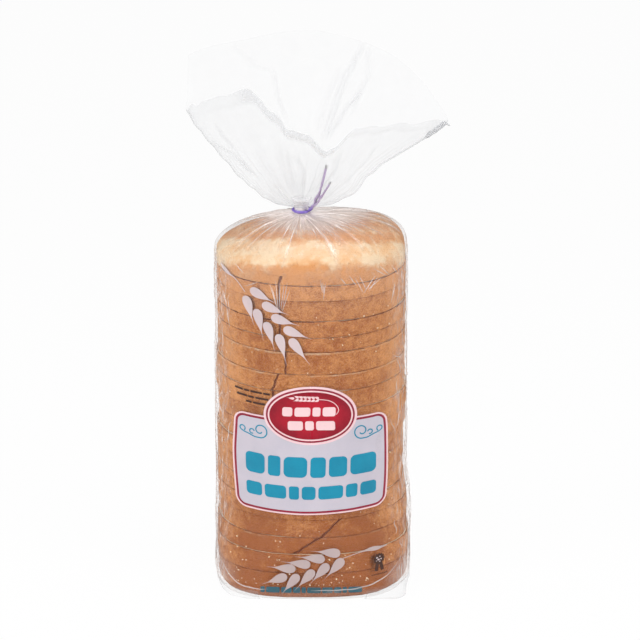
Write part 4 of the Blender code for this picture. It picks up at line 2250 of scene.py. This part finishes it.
@dataclass
class TwistTie:
    """A coated strip round the neck, twisted together, with two loose tails."""

    shape: BagShape
    wardrobe: Wardrobe
    width: float = 0.0021
    thickness: float = 0.0006
    wire: float = 0.00045
    bend: Triple = (0.0057, -0.0202, 0.2785)
    short_end: Triple = (0.0136, -0.0265, 0.2948)

    def ribbon(
        self,
        builder: Builder,
        path: Callable[[float], Vector],
        spin: Callable[[float], float],
        stations: int,
        marks: Callable[[float], dict[str, float]],
    ) -> None:
        """Add a flat strip with its wire's ridge down the middle.

        Args:
            builder: The bmesh that takes it.
            path: The strip's middle.
            spin: How far it is turned about its path, in radians.
            stations: How many cells it is long.
            marks: What its coat reads along it.
        """
        def place(share: float, around: float) -> Spot:
            """A point of the strip's skin.

            Args:
                share: The share of the way along the strip.
                around: The share of the way round its section.

            Returns:
                The point, with what its coat reads there.
            """
            here = path(share)
            ahead = (path(min(1.0, share + 0.01)) - path(max(0.0, share - 0.01))).normalized()
            side = ahead.cross(Vector((0.0, 1.0, 0.2))).normalized()
            over = side.cross(ahead)
            turn = 2.0 * math.pi * around
            across = 0.5 * self.width * signed_power(math.cos(turn), 0.6)
            ridge = self.wire * math.exp(-((across / (0.22 * self.width)) ** 2))
            deep = (0.5 * self.thickness + ridge) * signed_power(math.sin(turn), 0.6)
            cap = math.sin(0.5 * math.pi * min(1.0, 40.0 * min(share, 1.0 - share))) ** 0.5
            angle = spin(share)
            flat = cap * (across * math.cos(angle) - deep * math.sin(angle))
            tall = cap * (across * math.sin(angle) + deep * math.cos(angle))
            return Spot(here + side * flat + over * tall, marks(share))

        grow_sheet(builder, stations, 16, place)

    def band(self, share: float) -> Vector:
        """A point of the loop round the neck.

        Args:
            share: The share of the way round.

        Returns:
            The point.
        """
        reach = self.shape.neck_radius + 0.9 * MM
        middle = 0.5 * (self.shape.neck_bottom + self.shape.neck_top)
        turn = math.radians(-35.0) - 2.0 * math.pi * share * 0.985
        return Vector((
            self.shape.neck_x + reach * math.cos(turn),
            reach * math.sin(turn),
            middle + 0.5 * MM * math.sin(turn),
        ))

    def strand(self, side: float, end: Vector, share: float) -> Vector:
        """A point of one strand: twisted with the other, then free.

        Args:
            side: 1 for one strand and -1 for the other.
            end: Where its tail ends.
            share: 0 at the knot and 1 at its end.

        Returns:
            The point.
        """
        bend = Vector(self.bend)
        line = self.band(0.0).lerp(bend, share).lerp(bend.lerp(end, share), share)
        twist = 1.0 - smooth(0.42, 0.66, share)
        turn = side * 0.5 * math.pi + 6.0 * math.pi * share
        radius = 0.55 * MM * twist * smooth(0.0, 0.08, share)
        return line + Vector((radius * math.cos(turn), radius * 0.6, radius * math.sin(turn) * 0.5))

    def build(self) -> None:
        """Build the band and the two strands that end in the tails."""
        low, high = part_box(TIE)
        builder = bmesh.new()
        self.ribbon(builder, self.band, unturned, 72, fresh_coat)
        long_end = Vector((0.0108, low.y + 0.0010, high.z - 0.0010))
        for side, end in ((1.0, long_end), (-1.0, Vector(self.short_end))):
            path = partial(self.strand, side, end)
            self.ribbon(builder, path, partial(strand_spin, side), 90, rubbed_coat)
        weld(builder)
        add_piece("tie_strip", builder, [self.wardrobe.tie], "coated_wire", TIE)


# ---------------- the stage


@dataclass
class Stage:
    """The pale floor, the lamps and the camera."""

    elevation: float = 17.0
    across: float = 0.4444
    distance: float = 3.0
    aim: Triple = (0.00625, 0.0, 0.1881)
    floor_glow: float = 0.97
    room: Colour = (0.05, 0.05, 0.05)

    def floor(self) -> None:
        """A wide floor that looks white and still takes the bag's shadow."""
        builder = bmesh.new()
        bmesh.ops.create_grid(builder, x_segments=2, y_segments=2, size=6.0)
        mesh = bpy.data.meshes.new("floor")
        builder.to_mesh(mesh)
        builder.free()
        graph = Graph("floor", {"Roughness": 0.9, "Specular IOR Level": 0.1})
        graph.dress("Base Color", (0.93, 0.93, 0.93))
        seen = Value(graph, graph.node("ShaderNodeLightPath", {}, {}).outputs["Is Camera Ray"])
        glow = graph.node("ShaderNodeEmission", {}, {"Color": (1.0, 1.0, 1.0), "Strength": 1.0})
        inputs = {0: seen * self.floor_glow, 1: graph.shader.outputs[0], 2: glow.outputs[0]}
        mixer = graph.node("ShaderNodeMixShader", {}, inputs)
        graph.tree.links.new(mixer.outputs[0], graph.tree.nodes["Material Output"].inputs["Surface"])
        mesh.materials.append(graph.material)
        piece = bpy.data.objects.new("floor", mesh)
        bpy.context.scene.collection.objects.link(piece)

    def world(self) -> None:
        """A faint even light from everywhere."""
        world = bpy.data.worlds.new("soft_room")
        world.use_nodes = True
        world.node_tree.nodes["Background"].inputs["Color"].default_value = (*self.room, 1.0)
        bpy.context.scene.world = world

    def lamp(self, name: str, place: Triple, size: float, power: float) -> None:
        """Add a soft square lamp that faces the bag.

        Args:
            name: Its name.
            place: Where it hangs.
            size: Its side.
            power: Its power in watts.
        """
        data = bpy.data.lights.new(name, "AREA")
        data.size = size
        data.energy = power
        lamp = bpy.data.objects.new(name, data)
        lamp.location = place
        aim = Vector((0.0, 0.0, 0.16)) - Vector(place)
        lamp.rotation_euler = aim.to_track_quat("-Z", "Y").to_euler()
        bpy.context.scene.collection.objects.link(lamp)

    def camera(self) -> None:
        """A long lens, looking down a little."""
        data = bpy.data.cameras.new("camera")
        data.lens = data.sensor_width * self.distance / self.across
        data.clip_end = 50.0
        camera = bpy.data.objects.new("camera", data)
        tilt = math.radians(self.elevation)
        back = Vector((0.0, -math.cos(tilt), math.sin(tilt)))
        camera.location = Vector(self.aim) + back * self.distance
        camera.rotation_euler = (-back).to_track_quat("-Z", "Y").to_euler()
        bpy.context.scene.collection.objects.link(camera)
        bpy.context.scene.camera = camera

    def build(self) -> None:
        """Set the stage."""
        self.floor()
        self.world()
        self.lamp("left_softbox", (-1.25, -0.85, 0.65), 0.7, 15.9)
        self.lamp("right_softbox", (1.25, -0.85, 0.65), 0.7, 14.6)
        self.lamp("overhead", (0.0, -0.25, 1.5), 0.8, 12.5)
        self.camera()
        bpy.context.scene.view_settings.view_transform = "Standard"


def main() -> None:
    """Build every sub-assembly in order."""
    logging.basicConfig(level=logging.INFO, format="%(message)s")
    shape = BagShape.from_frame()
    wardrobe = Wardrobe()
    body = BodyFilm(shape, wardrobe)
    fan = FanFilm(shape, wardrobe)
    parts = (
        Loaf(shape, wardrobe),
        Crumbs(shape, wardrobe),
        body,
        Gather(shape, wardrobe),
        fan,
        EdgeStrip(fan, wardrobe),
        FootFlaps(body, wardrobe),
        Creases(body, wardrobe),
        Print(body, wardrobe),
        TwistTie(shape, wardrobe),
        Stage(),
    )
    for part in parts:
        part.build()
        LOG.info("built %s", type(part).__name__)


if __name__ == "__main__":
    main()
